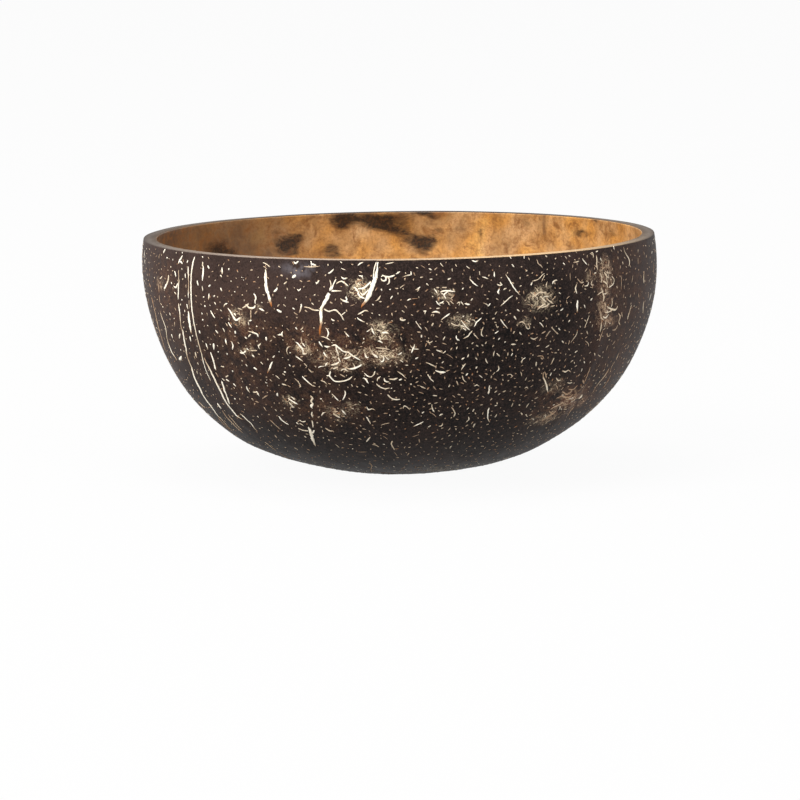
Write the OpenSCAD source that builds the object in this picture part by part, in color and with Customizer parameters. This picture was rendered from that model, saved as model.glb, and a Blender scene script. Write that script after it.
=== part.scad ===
/* [Shell] */
// Diameter at the belly, leaving out the seams
body_d = 135.4; // [126:0.2:148]
// Height of the rim above the foot, at the middle of the bowl
body_h = 62.2; // [58:0.2:66]
// Thickness of the wall
wall = 3.2; // [2.6:0.1:4.5]
// Radius of the flank, seen from the side
flank_r = 53.3; // [51:0.1:57]
// Radius of the underside, seen from the side
base_r = 104; // [98:1:115]

/* [Rim and foot] */
// Slope of the sawn rim against the foot, in degrees
rim_slope = 0.7; // [0:0.1:3]
// Width of the sanded chamfer along both edges of the rim
rim_ease = 0.5; // [0.2:0.1:1]
// Diameter of the flat sanded foot
foot_d = 26; // [20:1:36]

/* [Seams] */
// Direction of the two front seams, in degrees either side of the front
seam_angle = 51.5; // [40:0.5:60]
// How far a seam stands proud of the flank
seam_rise = 0.35; // [0.2:0.05:0.6]
// How far the back of a seam lies under the skin at its ends
seam_bury = 0.12; // [0.08:0.02:0.3]
// Radius of the rounded back of a seam
seam_round = 8; // [6:0.5:11]

/* [Fibres] */
// Thickness of a common fibre
fibre_d = 0.9; // [0.7:0.05:1.2]
// Thickness of the thick fibres below the rim
thick_fibre_d = 1.4; // [1.1:0.1:1.8]
// How far a fibre stands proud of the shell at its middle
fibre_proud = 0.2; // [0.14:0.02:0.3]
// How far it stands proud at its ends
fibre_end_proud = 0.05; // [0.04:0.01:0.1]
// Gap between a fibre and its groove
fibre_gap = 0.04; // [0.02:0.01:0.1]

/* [Hidden] */
$fn = 128;

// Where each fibre lies: its direction from the front, the angle of its middle above the belly, half its
// length along the flank and its lean from upright, all in degrees
left_flank_angles = [-60, -23, 24, -9];
left_outer_angles = [-69.5, -18, 9, 2];
front_left_angles = [-29.8, 0.5, 5.2, 4];
front_angles = [-16, -4.5, 7.5, -12];
front_right_angles = [-6.1, 0.8, 5.2, -14];
lower_angles = [-28, -49, 6, -14];
right_flank_angles = [42.4, -5.5, 5, 3];

// The angle of a seam's middle, half its length, and half the length of the fibre on each, in degrees
seam_mid_angle = -22;
seam_half_angle = 33;
left_seam_half_angle = 27;
right_seam_half_angle = 23;
rear_seam_half_angle = 25;

// The side view of the bowl is two arcs. At the join the flank's laps over the underside's by join_lap,
// so they cross there, at an angle too small to see
join_lap = 0.02;
flank_x = body_d / 2 - flank_r;
base_z = sqrt(base_r * base_r - foot_d * foot_d / 4);
belly_z = base_z - sqrt(pow(base_r - flank_r + join_lap, 2) - flank_x * flank_x);
join_angle = -acos(flank_x / (base_r - flank_r + join_lap));
above_belly = body_h - belly_z;
outer_x = flank_x + sqrt(flank_r * flank_r - above_belly * above_belly);
inner_x = flank_x + sqrt(pow(flank_r - wall, 2) - above_belly * above_belly);
// Longer than anything in the part
far = 2 * base_r;

function toward(a) = [cos(a), sin(a)];

// Half of what lies inside both arcs when they are drawn in by inset. It runs out over the rim
module within_arcs_2d(inset) {
    intersection() {
        translate([0, base_z]) circle(base_r - inset);
        union() {
            translate([flank_x, belly_z]) circle(flank_r - inset);
            polygon([[0, -far], [flank_x, belly_z] + far * toward(join_angle), [flank_x, belly_z],
                [flank_x, far], [0, far]]);
        }
        polygon([[0, -far], [far, -far], [far, body_h + wall], [0, body_h + wall]]);
    }
}

// Half of what lies under the sawn rim and its outer chamfer
module below_rim_2d() {
    polygon([[0, -far], [outer_x - rim_ease + far, -far], [outer_x - rim_ease + far, body_h - far],
        [outer_x - rim_ease, body_h], [0, body_h]]);
}

// Half of the cavity, which flares at the rim's inner chamfer
module cavity_2d() {
    within_arcs_2d(wall);
    polygon([[0, belly_z], [inner_x + rim_ease - above_belly, belly_z],
        [inner_x + rim_ease + wall, body_h + wall], [0, body_h + wall]]);
}

// The bowl's own axis leans by the slope of the rim, about the centre of the underside's arc
module leaning() {
    translate([0, 0, base_z]) rotate([0, -rim_slope, 0]) translate([0, 0, -base_z]) children();
}

// A round bar that follows the flank. Its middle lies sink under the skin, its ends deeper by dive
module flank_bar(r, sink, dive, place_angles) {
    even_r = flank_r - sink;
    reach = even_r * sin(place_angles[2]);
    rise = even_r * (1 - cos(place_angles[2])) + dive;
    bend_r = (reach * reach + rise * rise) / (2 * rise);
    spread = asin(reach / bend_r);
    rotate(place_angles[0] - 90) translate([flank_x, 0, belly_z]) rotate([0, -place_angles[1], 0])
        translate([even_r - bend_r, 0, 0]) rotate([place_angles[3] + 90, 0, 0])
            rotate_extrude(start = -spread, angle = 2 * spread) translate([bend_r, 0]) circle(r);
}

// A fibre, or with a gap the groove that it lies in
module fibre(d, place_angles, gap) {
    color("#dcc9a4") leaning()
        flank_bar(d / 2 + gap, d / 2 - fibre_proud, fibre_proud - fibre_end_proud, place_angles);
}

seam_dive = seam_rise + seam_bury;

// A seam runs out into the flank at both its ends
module seam(angle) {
    flank_bar(seam_round, seam_round - seam_rise, seam_dive, [angle, seam_mid_angle, seam_half_angle, 0]);
}

// A fibre along the back of a seam, which falls away under its ends
module seam_fibre(half_angle, angle, gap) {
    fall = seam_dive * pow(half_angle / seam_half_angle, 2);
    color("#dcc9a4") leaning()
        flank_bar(fibre_d / 2 + gap, fibre_d / 2 - fibre_proud - seam_rise,
            fibre_proud - fibre_end_proud + fall, [angle, seam_mid_angle, half_angle, 0]);
}

module left_seam_fibre(gap = 0) { seam_fibre(left_seam_half_angle, -seam_angle, gap); }
module right_seam_fibre(gap = 0) { seam_fibre(right_seam_half_angle, seam_angle, gap); }
module rear_seam_fibre(gap = 0) { seam_fibre(rear_seam_half_angle, 180, gap); }
module left_flank_fibre(gap = 0) { fibre(fibre_d, left_flank_angles, gap); }
module left_outer_fibre(gap = 0) { fibre(fibre_d, left_outer_angles, gap); }
module right_flank_fibre(gap = 0) { fibre(fibre_d, right_flank_angles, gap); }
module front_left_fibre(gap = 0) { fibre(thick_fibre_d, front_left_angles, gap); }
module front_fibre(gap = 0) { fibre(fibre_d, front_angles, gap); }
module front_right_fibre(gap = 0) { fibre(thick_fibre_d, front_right_angles, gap); }
module lower_fibre(gap = 0) { fibre(thick_fibre_d, lower_angles, gap); }

module shell() {
    color("#43342e")
    difference() {
        leaning() intersection() {
            union() {
                rotate_extrude() within_arcs_2d(0);
                seam(-seam_angle);
                seam(seam_angle);
                seam(180);
            }
            rotate_extrude() below_rim_2d();
        }
        translate([0, 0, -far]) cylinder(h = far, r = far);
        leaning() rotate_extrude() cavity_2d();
        left_seam_fibre(fibre_gap);
        right_seam_fibre(fibre_gap);
        rear_seam_fibre(fibre_gap);
        left_flank_fibre(fibre_gap);
        left_outer_fibre(fibre_gap);
        right_flank_fibre(fibre_gap);
        front_left_fibre(fibre_gap);
        front_fibre(fibre_gap);
        front_right_fibre(fibre_gap);
        lower_fibre(fibre_gap);
    }
}

shell();
left_seam_fibre();
right_seam_fibre();
rear_seam_fibre();
left_flank_fibre();
left_outer_fibre();
right_flank_fibre();
front_left_fibre();
front_fibre();
front_right_fibre();
lower_fibre();
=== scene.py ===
import bpy
import math
import numpy as np
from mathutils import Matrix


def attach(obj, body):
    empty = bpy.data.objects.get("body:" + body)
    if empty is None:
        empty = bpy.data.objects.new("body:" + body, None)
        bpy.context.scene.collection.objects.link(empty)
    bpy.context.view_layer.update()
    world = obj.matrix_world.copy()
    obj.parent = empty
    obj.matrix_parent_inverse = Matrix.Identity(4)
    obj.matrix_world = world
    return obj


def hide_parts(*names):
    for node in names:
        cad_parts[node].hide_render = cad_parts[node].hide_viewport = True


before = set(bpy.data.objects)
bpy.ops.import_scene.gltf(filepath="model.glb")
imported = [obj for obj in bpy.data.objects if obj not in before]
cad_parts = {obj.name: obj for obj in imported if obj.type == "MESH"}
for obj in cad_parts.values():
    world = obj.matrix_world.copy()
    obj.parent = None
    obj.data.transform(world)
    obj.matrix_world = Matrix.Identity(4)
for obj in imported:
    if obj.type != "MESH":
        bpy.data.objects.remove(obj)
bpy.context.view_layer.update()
rng = np.random.default_rng(41)
mm = 0.001

# the view, as the bowl was photographed: from the front, a little above the rim
view = {
    "aim": (0.0, 0.0, 0.030), "distance": 1.4, "elevation": 6.83,   # metres, metres, degrees
    "lens": 237.7, "sensor": 36.0, "shift": (0.0035, -0.0559), "frameSize": 800,
    "searchFrom": 1318, "searchTo": 1482, "searchSteps": 3281,   # where along a sight line the bowl lies, in mm
}

# the shell's sizes in mm, as in the solids, but for the finer sanding of the rim's edges
shell = {
    "beltRadius": 67.7, "height": 62.2, "wall": 3.2, "flankRadius": 53.3, "baseRadius": 104.0,
    "footRadius": 13.0, "rimEase": 0.3, "rimSlope": 0.7,
}
flankX = shell["beltRadius"] - shell["flankRadius"]
baseZ = math.sqrt(shell["baseRadius"] ** 2 - shell["footRadius"] ** 2)
reach = shell["baseRadius"] - shell["flankRadius"]
beltZ = baseZ - math.sqrt(reach ** 2 - flankX ** 2)
joinRise = -math.acos(flankX / reach)
joinDip = math.asin(flankX / reach)
centreRise = math.degrees(joinRise - joinDip * shell["baseRadius"] / shell["flankRadius"])
lean = math.radians(shell["rimSlope"])


def deselect():
    for each in bpy.context.selected_objects:
        each.select_set(False)


def alone(piece):
    deselect()
    piece.select_set(True)
    bpy.context.view_layer.objects.active = piece


def linear(hexCode):
    parts = [int(hexCode[i:i + 2], 16) / 255 for i in (1, 3, 5)]
    return tuple(c / 12.92 if c <= 0.04045 else ((c + 0.055) / 1.055) ** 2.4 for c in parts) + (1.0,)


# ---- places on the skin: turn is degrees from the front, rise is degrees above the belt along the flank,
# and it goes on at the same rate of millimetres round the underside

def humps(turn, rise, places):
    # soft round humps, each (turn, rise, half width, half height, strength), in degrees
    total = np.zeros(np.broadcast(turn, rise).shape)
    for atTurn, atRise, wide, tall, strength in places:
        away = (turn - atTurn + 180) % 360 - 180
        total = total + strength * np.exp(-(away / wide) ** 2 - ((rise - atRise) / tall) ** 2)
    return total


seams = {
    "turns": (-51.5, 51.5, 180.0), "middle": -22.0, "half": 33.0,   # degrees
    "height": 0.35, "halfWidth": 2.6, "fromAxis": 62,                # mm
}
swells = [   # broad swellings and hollows: turn, rise, half width, half height, mm
    (-82, -46, 34, 13, 0.4), (-80, -58, 34, 7, 0.42), (84, -36, 30, 12, 0.14), (-84, -16, 32, 12, -0.12),
    (-88, 5, 36, 13, 0.42), (88, -3, 36, 17, 0.3), (84, -57, 30, 9, -0.2), (30, -60, 40, 16, 0.2),
    (150, -30, 30, 20, 0.35), (-140, -20, 26, 22, -0.3),
]
waves = [(5, 2.1, 0.0, 0.07), (11, -6, 1.3, 0.05), (19, 13, 0.4, 0.035)]   # waves round, waves up, start, mm
levelFoot = {"clear": 10, "fade": 20}   # degrees from the middle of the foot where the unevenness sets in


def swell(turn, rise):
    # how far the grown shell departs from the true round, in mm
    wander = humps(turn, rise, swells)
    a, b = np.radians(turn), np.radians(rise)
    for around, upward, start, tall in waves:
        wander = wander + tall * np.sin(around * a + upward * b + start)
    for atTurn in seams["turns"]:
        away = ((turn - atTurn + 180) % 360 - 180) * np.pi / 180 * seams["fromAxis"]
        along = np.clip((rise - seams["middle"]) / seams["half"], -1, 1)
        ridge = np.cos(np.clip(away / seams["halfWidth"], -1, 1) * np.pi / 2) ** 2 * (1 - along ** 2)
        wander = wander + seams["height"] * ridge
    fromFoot = np.asarray(rise) - centreRise
    return wander * np.clip((fromFoot - levelFoot["clear"]) / levelFoot["fade"], 0, 1)


def skin(turn, rise, lift=0.0):
    # the place in metres that lies lift millimetres outside the round shell
    a, b = np.radians(np.asarray(turn, float)), np.radians(np.asarray(rise, float))
    dip = joinDip + (b - joinRise) * shell["flankRadius"] / shell["baseRadius"]
    under = b < joinRise
    r = np.where(under, (shell["baseRadius"] + lift) * np.sin(dip),
                 flankX + (shell["flankRadius"] + lift) * np.cos(b))
    z = np.where(under, baseZ - (shell["baseRadius"] + lift) * np.cos(dip),
                 beltZ + (shell["flankRadius"] + lift) * np.sin(b))
    x, y = r * np.sin(a), -r * np.cos(a)
    return np.stack([x * math.cos(lean) - (z - baseZ) * math.sin(lean), y,
                     baseZ + x * math.sin(lean) + (z - baseZ) * math.cos(lean)], -1) * mm


def ringRadius(rise):
    b = np.radians(rise)
    dip = joinDip + (b - joinRise) * shell["flankRadius"] / shell["baseRadius"]
    return np.where(b < joinRise, shell["baseRadius"] * np.sin(dip), flankX + shell["flankRadius"] * np.cos(b))


def placeOf(point, inset=0.0):
    # turn, rise and depth in mm under the skin of a point in the bowl's own upright axes
    x, y, z = point[..., 0], point[..., 1], point[..., 2]
    r = np.hypot(x, y)
    rise = np.arctan2(z - beltZ, r - flankX)
    dip = np.arctan2(r, baseZ - z)
    under = (rise < joinRise) | (r < flankX * 0.6)
    riseUnder = joinRise + (dip - joinDip) * shell["baseRadius"] / shell["flankRadius"]
    depth = np.where(under, shell["baseRadius"] - np.hypot(r, z - baseZ),
                     shell["flankRadius"] - np.hypot(r - flankX, z - beltZ))
    return np.degrees(np.arctan2(x, -y)), np.degrees(np.where(under, riseUnder, rise)), depth - inset


def spot(px, py, inside=False):
    # the turn and rise of the skin that shows at a pixel of the 800 by 800 picture
    half = view["frameSize"] / 2
    across = ((px - half) / view["frameSize"] + view["shift"][0]) * view["sensor"] / view["lens"]
    upward = ((half - py) / view["frameSize"] + view["shift"][1]) * view["sensor"] / view["lens"]
    tip = math.radians(view["elevation"])
    eye = np.array(view["aim"]) / mm + view["distance"] / mm * np.array([0, -math.cos(tip), math.sin(tip)])
    ray = np.array([across, math.cos(tip) + upward * math.sin(tip), -math.sin(tip) + upward * math.cos(tip)])
    steps = np.linspace(view["searchFrom"], view["searchTo"], view["searchSteps"])
    if inside:
        steps = steps[::-1]
    at = eye + steps[:, None] * ray
    x, z = at[:, 0], at[:, 2] - baseZ
    own = np.stack([x * math.cos(lean) + z * math.sin(lean), at[:, 1],
                    baseZ - x * math.sin(lean) + z * math.cos(lean)], -1)
    turn, rise, depth = placeOf(own, shell["wall"] if inside else 0.0)
    first = int(np.argmax(depth > 0))
    return float(turn[first]), float(rise[first])


# ---- small tools for materials

def newMaterial(name):
    material = bpy.data.materials.new(name)
    material.use_nodes = True
    return material, material.node_tree.nodes["Principled BSDF"]


def addNode(material, kind, settings=None, **links):
    # settings are properties or socket values, links are sockets that take another node's output
    node = material.node_tree.nodes.new(kind)
    for key, value in (settings or {}).items():
        if hasattr(node, key):
            setattr(node, key, value)
        else:
            node.inputs[int(key[1:]) if key[0] == "#" else key].default_value = value
    for key, source in links.items():
        socket = node.inputs[int(key[1:]) if key[0] == "_" else key.replace("_", " ")]
        material.node_tree.links.new(source, socket)
    return node


def plug(material, source, socket):
    material.node_tree.links.new(source, socket)


def ramp(material, source, stops):
    node = addNode(material, "ShaderNodeValToRGB", None, Fac=source)
    elements = node.color_ramp.elements
    while len(elements) < len(stops):
        elements.new(0.5)
    for element, (place, colour) in zip(elements, stops):
        element.position = place
        element.color = linear(colour) if isinstance(colour, str) else (colour, colour, colour, 1)
    return node.outputs["Color"]


def mixColour(material, factor, first, second):
    node = addNode(material, "ShaderNodeMix", {"data_type": "RGBA"})
    for index, value in ((0, factor), (6, first), (7, second)):
        if isinstance(value, str):
            node.inputs[index].default_value = linear(value)
        elif isinstance(value, (int, float)):
            node.inputs[index].default_value = value
        else:
            plug(material, value, node.inputs[index])
    return node.outputs[2]


def sums(material, operation, *values):
    node = addNode(material, "ShaderNodeMath", {"operation": operation})
    for index, value in enumerate(values):
        if isinstance(value, (int, float)):
            node.inputs[index].default_value = value
        else:
            plug(material, value, node.inputs[index])
    return node.outputs[0]


def times(material, *values):
    return sums(material, "MULTIPLY", *values)


def swing(material, noise, much):
    # a noise made to swing about nought
    return times(material, sums(material, "SUBTRACT", noise, 0.5), much)


def finishWith(material, surface, colour, specular, height, strength, distance):
    plug(material, colour, surface.inputs["Base Color"])
    surface.inputs["Specular IOR Level"].default_value = specular
    bump = addNode(material, "ShaderNodeBump", {"Strength": strength, "Distance": distance}, Height=height)
    plug(material, bump.outputs[0], surface.inputs["Normal"])


def grain(material, place, sizeMm, detail=2.0, roughness=0.5, stretch=(1, 1, 1), distortion=0.0):
    # noise whose features are about sizeMm across
    mapping = addNode(material, "ShaderNodeMapping", {"Scale": tuple(s * 1000 / sizeMm for s in stretch)},
                      Vector=place)
    return addNode(material, "ShaderNodeTexNoise", {"Scale": 1.0, "Detail": detail, "Roughness": roughness,
                   "Distortion": distortion}, Vector=mapping.outputs[0]).outputs["Fac"]


def threads(material, place, sizeMm, width):
    # curled lines where the noise passes its middle value
    off = sums(material, "ABSOLUTE", sums(material, "SUBTRACT", grain(material, place, sizeMm, 1.5, 0.5,
               distortion=0.8), 0.5))
    return ramp(material, off, [(0.0, 1.0), (width, 0.0)])


def attribute(material, name):
    return addNode(material, "ShaderNodeAttribute", {"attribute_name": name}).outputs["Fac"]


# ---- the shell: its side view is drawn by spinning one point, and then spun once round

shellSteps = {   # how many steps each spin takes
    "underside": 24, "flank": 104, "easing": 5, "rim": 4, "inside": 64, "insideBottom": 20, "round": 300,
    "weld": 0.000003,   # metres
}


def turnOn(degrees, steps, centre):
    bpy.ops.mesh.spin(steps=steps, angle=math.radians(degrees), center=(centre[0] * mm, 0, centre[1] * mm),
                      axis=(0, 1, 0))


def makeShell():
    ease, wall, flankR = shell["rimEase"], shell["wall"], shell["flankRadius"]
    easeZ = shell["height"] - ease
    outerRise = math.degrees(math.asin((easeZ - beltZ) / (flankR - ease)))
    innerRise = math.degrees(math.asin((easeZ - beltZ) / (flankR - wall + ease)))
    outerEase = (flankX + (flankR - ease) * math.cos(math.radians(outerRise)), easeZ)
    innerEase = (flankX + (flankR - wall + ease) * math.cos(math.radians(innerRise)), easeZ)
    joinDeg, dipDeg = math.degrees(joinRise), math.degrees(joinDip)
    deselect()
    bpy.ops.mesh.primitive_plane_add(size=0.001, location=(0, 0, 0))
    piece = bpy.context.object
    piece.name = "bowl_shell"
    bpy.ops.object.mode_set(mode="EDIT")
    bpy.ops.mesh.select_all(action="SELECT")
    bpy.ops.mesh.merge(type="CENTER")
    bpy.ops.transform.translate(value=(0, 0, (baseZ - shell["baseRadius"]) * mm))
    turnOn(dipDeg, shellSteps["underside"], (0, baseZ))     # the underside, from the middle out
    turnOn(outerRise - joinDeg, shellSteps["flank"], (flankX, beltZ))   # the flank, up to the rim
    turnOn(90 - outerRise, shellSteps["easing"], outerEase)     # the sanded outer edge of the rim
    for _ in range(shellSteps["rim"]):
        inward = (innerEase[0] - outerEase[0]) / shellSteps["rim"] * mm
        bpy.ops.mesh.extrude_region_move(TRANSFORM_OT_translate={"value": (inward, 0, 0)})
    turnOn(90 + innerRise, shellSteps["easing"], innerEase)     # its inner edge
    turnOn(joinDeg - innerRise, shellSteps["inside"], (flankX, beltZ))  # down the inside
    turnOn(-dipDeg, shellSteps["insideBottom"], (0, baseZ))
    bpy.ops.mesh.select_all(action="SELECT")
    bpy.ops.mesh.spin(steps=shellSteps["round"], angle=math.radians(360), center=(0, 0, 0), axis=(0, 0, 1))
    bpy.ops.mesh.select_all(action="SELECT")
    bpy.ops.mesh.remove_doubles(threshold=shellSteps["weld"])
    bpy.ops.mesh.normals_make_consistent(inside=False)
    bpy.ops.object.mode_set(mode="OBJECT")

    # lean it and let it depart from the true round, as a grown shell does
    mesh = piece.data
    flat = np.empty(len(mesh.vertices) * 3)
    mesh.vertices.foreach_get("co", flat)
    turn, rise, depth = placeOf(flat.reshape(-1, 3) / mm)
    share = np.clip(depth / wall, 0, 1)
    moved = skin(turn, rise, -depth + swell(turn, rise) * (1 - 0.75 * share))   # the inside is scraped evener
    outside = depth < 0.02
    moved[outside, 2] = np.maximum(moved[outside, 2], 0)
    mesh.vertices.foreach_set("co", moved.ravel())
    mesh.update()
    return piece, turn, rise, depth


fuzzyPatches = [   # matted fibre left on the skin: turn, rise, half width, half height, strength
    (-38.1, -8.7, 2.4, 2.4, 0.7), (-32.4, -5.5, 1.6, 1.6, 0.5), (-8.6, 0.2, 2.2, 2.6, 1.3),
    (9.4, -1.1, 2.2, 1.8, 0.8),
    (13.4, -9.3, 2.6, 1.8, 0.9), (-4.0, -11.4, 2.6, 2.6, 0.95), (-14.3, -20, 4.0, 3.4, 0.8),
    (-4.2, -18.4, 4.6, 2.6, 0.95),
    (-22.3, -16.6, 2.0, 2.6, 0.8), (-36.8, -18.2, 2.6, 1.6, 0.5), (31.9, -3.9, 3.4, 3.0, 1.0),
    (27.9, -10.3, 2.0, 1.5, 0.45),
    (-28.9, -34.2, 2.2, 2.0, 0.75), (-16.8, -38.1, 3.2, 3.0, 0.5), (-11.9, -35.6, 2.4, 2.2, 0.45),
    (50.5, -38.0, 5.0, 3.6, 1.0), (44, -44, 5.0, 2.4, 0.7), (58, -39.5, 1.4, 1.6, 1.0),
    (51.3, 1.0, 2.2, 4.6, 1.0), (51.0, -8.5, 2.0, 3.6, 0.9), (53.5, -12.5, 3.2, 1.8, 0.8), (46.0, 0.5, 1.4, 2.4, 0.5),
    (41.0, -31.0, 5.0, 4.0, 0.3), (-66, -2.0, 2.4, 2.0, 0.5),
    (180, -4, 2.6, 6, 0.9), (178, -22, 2.2, 5, 0.7), (150, -14, 4, 3, 0.8), (128, -30, 5, 4, 0.6),
    (100, -8, 3, 3, 0.7),
    (-105, -26, 4, 5, 0.6), (-125, -6, 3, 2.6, 0.8), (-150, -34, 6, 4, 0.6), (-162, -12, 3, 2.4, 0.7),
    (206, -48, 7, 5, 0.5),
    (75, -44, 5, 4, 0.4), (20, -74, 12, 5, 0.4), (-80, -78, 14, 5, 0.4), (140, -70, 12, 5, 0.4),
]
rustyPatches = [   # reddish brown where less of the skin was sanded away
    (-38, -12, 7, 8, 0.9), (-22, -14, 6, 5, 1.0), (-12, -18, 9, 6, 0.9), (-42, -30, 10, 9, 0.6),
    (-20, -36, 10, 7, 0.7),
    (-2, -16, 6, 5, 0.6), (10, -4, 5, 3, 0.45), (-58, -14, 8, 18, 0.35), (48, -38, 11, 7, 1.0), (52, -4, 6, 12, 0.7),
    (64, -28, 9, 16, 0.55), (66, -2, 6, 10, 0.5), (-64, -2, 5, 8, 0.6),
    (150, -20, 16, 12, 0.7), (-130, -16, 16, 12, 0.6), (180, -12, 8, 18, 0.5), (95, -34, 14, 9, 0.5),
    (-100, -40, 14, 9, 0.5),
]
paleSkinAndPaintedLight = [       # browner, greyer skin at the left and under the rim, partly the skin's own tone and partly painted light: the left side lighter where the key light falls, and a painted grey reflection near the left and right edges
    (-80, -42, 11, 24, 0.8), (-70, 2, 40, 30, 0.95), (-22, -2, 26, 9, 0.75), (-28, -44, 22, 14, 0.25),
    (66, -6, 18, 30, 0.7),
    (40, 6, 30, 5, 0.35),
    (180, 0, 60, 30, 0.6), (120, -40, 30, 20, 0.5), (-140, -50, 40, 20, 0.6),
]
insideStains = [   # dark stains on the inner wall: picture x, y, half width, half height in degrees, strength
    (217, 248, 4.5, 2.6, 0.9), (228, 253, 4.0, 1.4, 0.8), (282, 245, 2.2, 2.4, 0.8), (292, 241, 2.4, 1.8, 1.0),
    (291, 252, 3.6, 2.0, 0.6), (331, 246, 2.2, 0.9, 0.8), (331, 254, 2.6, 1.4, 0.9), (341, 218, 3.2, 2.6, 0.95),
    (343, 226, 1.8, 1.4, 0.8), (362, 217, 5.4, 1.5, 0.9), (378, 221, 3.6, 1.8, 0.9), (389, 228, 2.8, 1.6, 0.95),
    (371, 226, 2.6, 1.6, 0.5), (400, 218, 3.6, 2.2, 0.7), (404, 232, 2.2, 2.0, 0.75), (413, 239, 2.6, 1.2, 0.9),
    (421, 244, 2.8, 1.8, 1.0), (430, 240, 2.0, 1.2, 0.9), (424, 252, 2.2, 2.2, 0.5), (423, 213, 2.6, 0.5, 1.0),
    (432, 217, 1.6, 1.2, 0.7), (436, 231, 2.2, 1.2, 0.6), (480, 233, 0.7, 1.9, 0.6), (376, 247, 2.0, 1.8, 0.3),
    (526, 222, 1.6, 2.6, 0.4), (580, 233, 3.4, 1.5, 0.75), (612, 233, 2.4, 1.2, 0.6), (568, 244, 1.2, 1.5, 0.5),
    (595, 221, 1.0, 0.6, 0.9), (462, 229, 4.0, 1.8, 0.35), (275, 233, 2.6, 1.4, 0.4), (300, 234, 2.0, 1.6, 0.45),
]
hiddenStains = [   # those that the front view doesn't show: turn, rise, half width, half height, strength
    (20, -20, 14, 9, 0.8), (-40, -45, 12, 8, 0.9), (60, -10, 8, 8, 0.7), (110, -50, 16, 8, 0.9),
    (-110, -30, 10, 7, 0.7), (-70, 0, 10, 4, 0.6), (0, -85, 40, 6, 0.7), (150, -80, 60, 7, 0.8),
    (-20, 2, 8, 4, 0.6), (90, 3, 6, 3, 0.5),
]
insideShade = [   # painted shade on the inner wall: darker and browner at the left, which the key light doesn't reach, and a band under the back rim; by picture spot
    (150, 240, 12, 16, 0.8), (163, 238, 12, 14, 0.7), (180, 236, 10, 14, 0.6), (200, 237, 8, 14, 0.5),
    (222, 238, 7, 12, 0.35), (245, 236, 8, 10, 0.1), (390, 218, 14, 3, 0.3),
]
leftShade = [(-92, 2, 14, 22, 1.2)]       # painted shade at its left end, by turn and rise
paintedSheenSpots = [(297, 268, 4, 1.2, 0.6), (300, 274, 2.4, 1.0, 0.5)]   # a painted bluish sheen under the rim, in place of the satin's reflection, by picture spot
skinTints = {   # where the skin's threads are tan, and the tints of the rim
    "tanThreads": [(62, -20, 24, 40, 1.0), (120, -30, 30, 30, 0.5), (-72, -5, 8, 20, 0.5)],
    "rimEnds": [(-92, 8, 44, 60, 1.1), (88, 8, 32, 60, 1.0)],
    "rimFront": [(-14, 8, 46, 60, 1.0)],
    "rimGold": [(30, 8, 36, 60, 1.0)],
    "rimBack": [(180, 8, 72, 60, 1.0)],
}


def onWall(places, inside):
    # the same places by turn and rise, where they were given by picture spot
    return [(*spot(px, py, inside), *rest) for px, py, *rest in places]


def paintShell(piece, turn, rise, depth):
    mesh = piece.data
    inner = depth > 0.6 * shell["wall"]
    masks = {
        "fuzz": humps(turn, rise, fuzzyPatches),
        "rust": humps(turn, rise, rustyPatches),
        # partly painted light: the skin's own paler tone together with a lit left side and painted grey reflection
        # near the edges
        "palenessAndPaintedLight": humps(turn, rise, paleSkinAndPaintedLight),
        # painted sheen: a bluish grey highlight under the front rim
        "paintedSheen": humps(turn, rise, onWall(paintedSheenSpots, False)),
        "stain": humps(turn, rise, onWall(insideStains, True) + hiddenStains) * inner,
        "shade": humps(turn, rise, onWall(insideShade, True) + leftShade) * inner,
        "across": depth / shell["wall"],
    }
    for name, places in skinTints.items():
        masks[name] = humps(turn, rise, places)
    for name, values in masks.items():
        layer = mesh.attributes.new(name, "FLOAT", "POINT")
        layer.data.foreach_set("value", np.clip(values, 0, 1.2).astype(np.float32))
    # outside, rim and inside each take their own finish
    corners = np.empty(len(mesh.loops), int)
    mesh.loops.foreach_get("vertex_index", corners)
    totals = np.empty(len(mesh.polygons), int)
    mesh.polygons.foreach_get("loop_total", totals)
    middle = np.empty(len(mesh.polygons) * 3)
    mesh.polygons.foreach_get("center", middle)
    faceDepth = np.add.reduceat(depth[corners], np.concatenate([[0], np.cumsum(totals)[:-1]])) / totals
    upward = np.empty(len(mesh.polygons) * 3)
    mesh.polygons.foreach_get("normal", upward)
    flatRim = (upward[2::3] > 0.75) & (middle[2::3] > 0.9 * shell["height"] * mm)
    kind = np.where(flatRim, 1, np.where(faceDepth < shell["wall"] / 2, 0, 2))
    mesh.polygons.foreach_set("material_index", kind)
    mesh.polygons.foreach_set("use_smooth", np.ones(len(kind), bool))


skinFinish = {   # sizes of the grain in mm, shares and colours
    "broad": 14, "middle": 3.0, "fine": 0.9, "speck": 0.38, "pore": 0.7, "tuft": 2.2, "curls": (1.5, 0.9),
    "rusty": 0.6, "porous": 0.6, "matted": 0.65, "rustyCurls": 0.4, "specular": 0.06,
    "dark": "#0e0c0c", "pale": "#382b27", "rust": "#523328", "worn": "#41322c", "specks": "#544541",
    # the paintedSheen colour is a painted highlight, not the skin's own colour
    "pores": "#151110", "paintedSheen": "#85828a", "halo": "#5a473b", "rustyHalo": "#6c4839",
    "thread": "#ead9b6", "tanThread": "#a8886c", "rustyThread": "#a07f5f",
}


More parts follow.
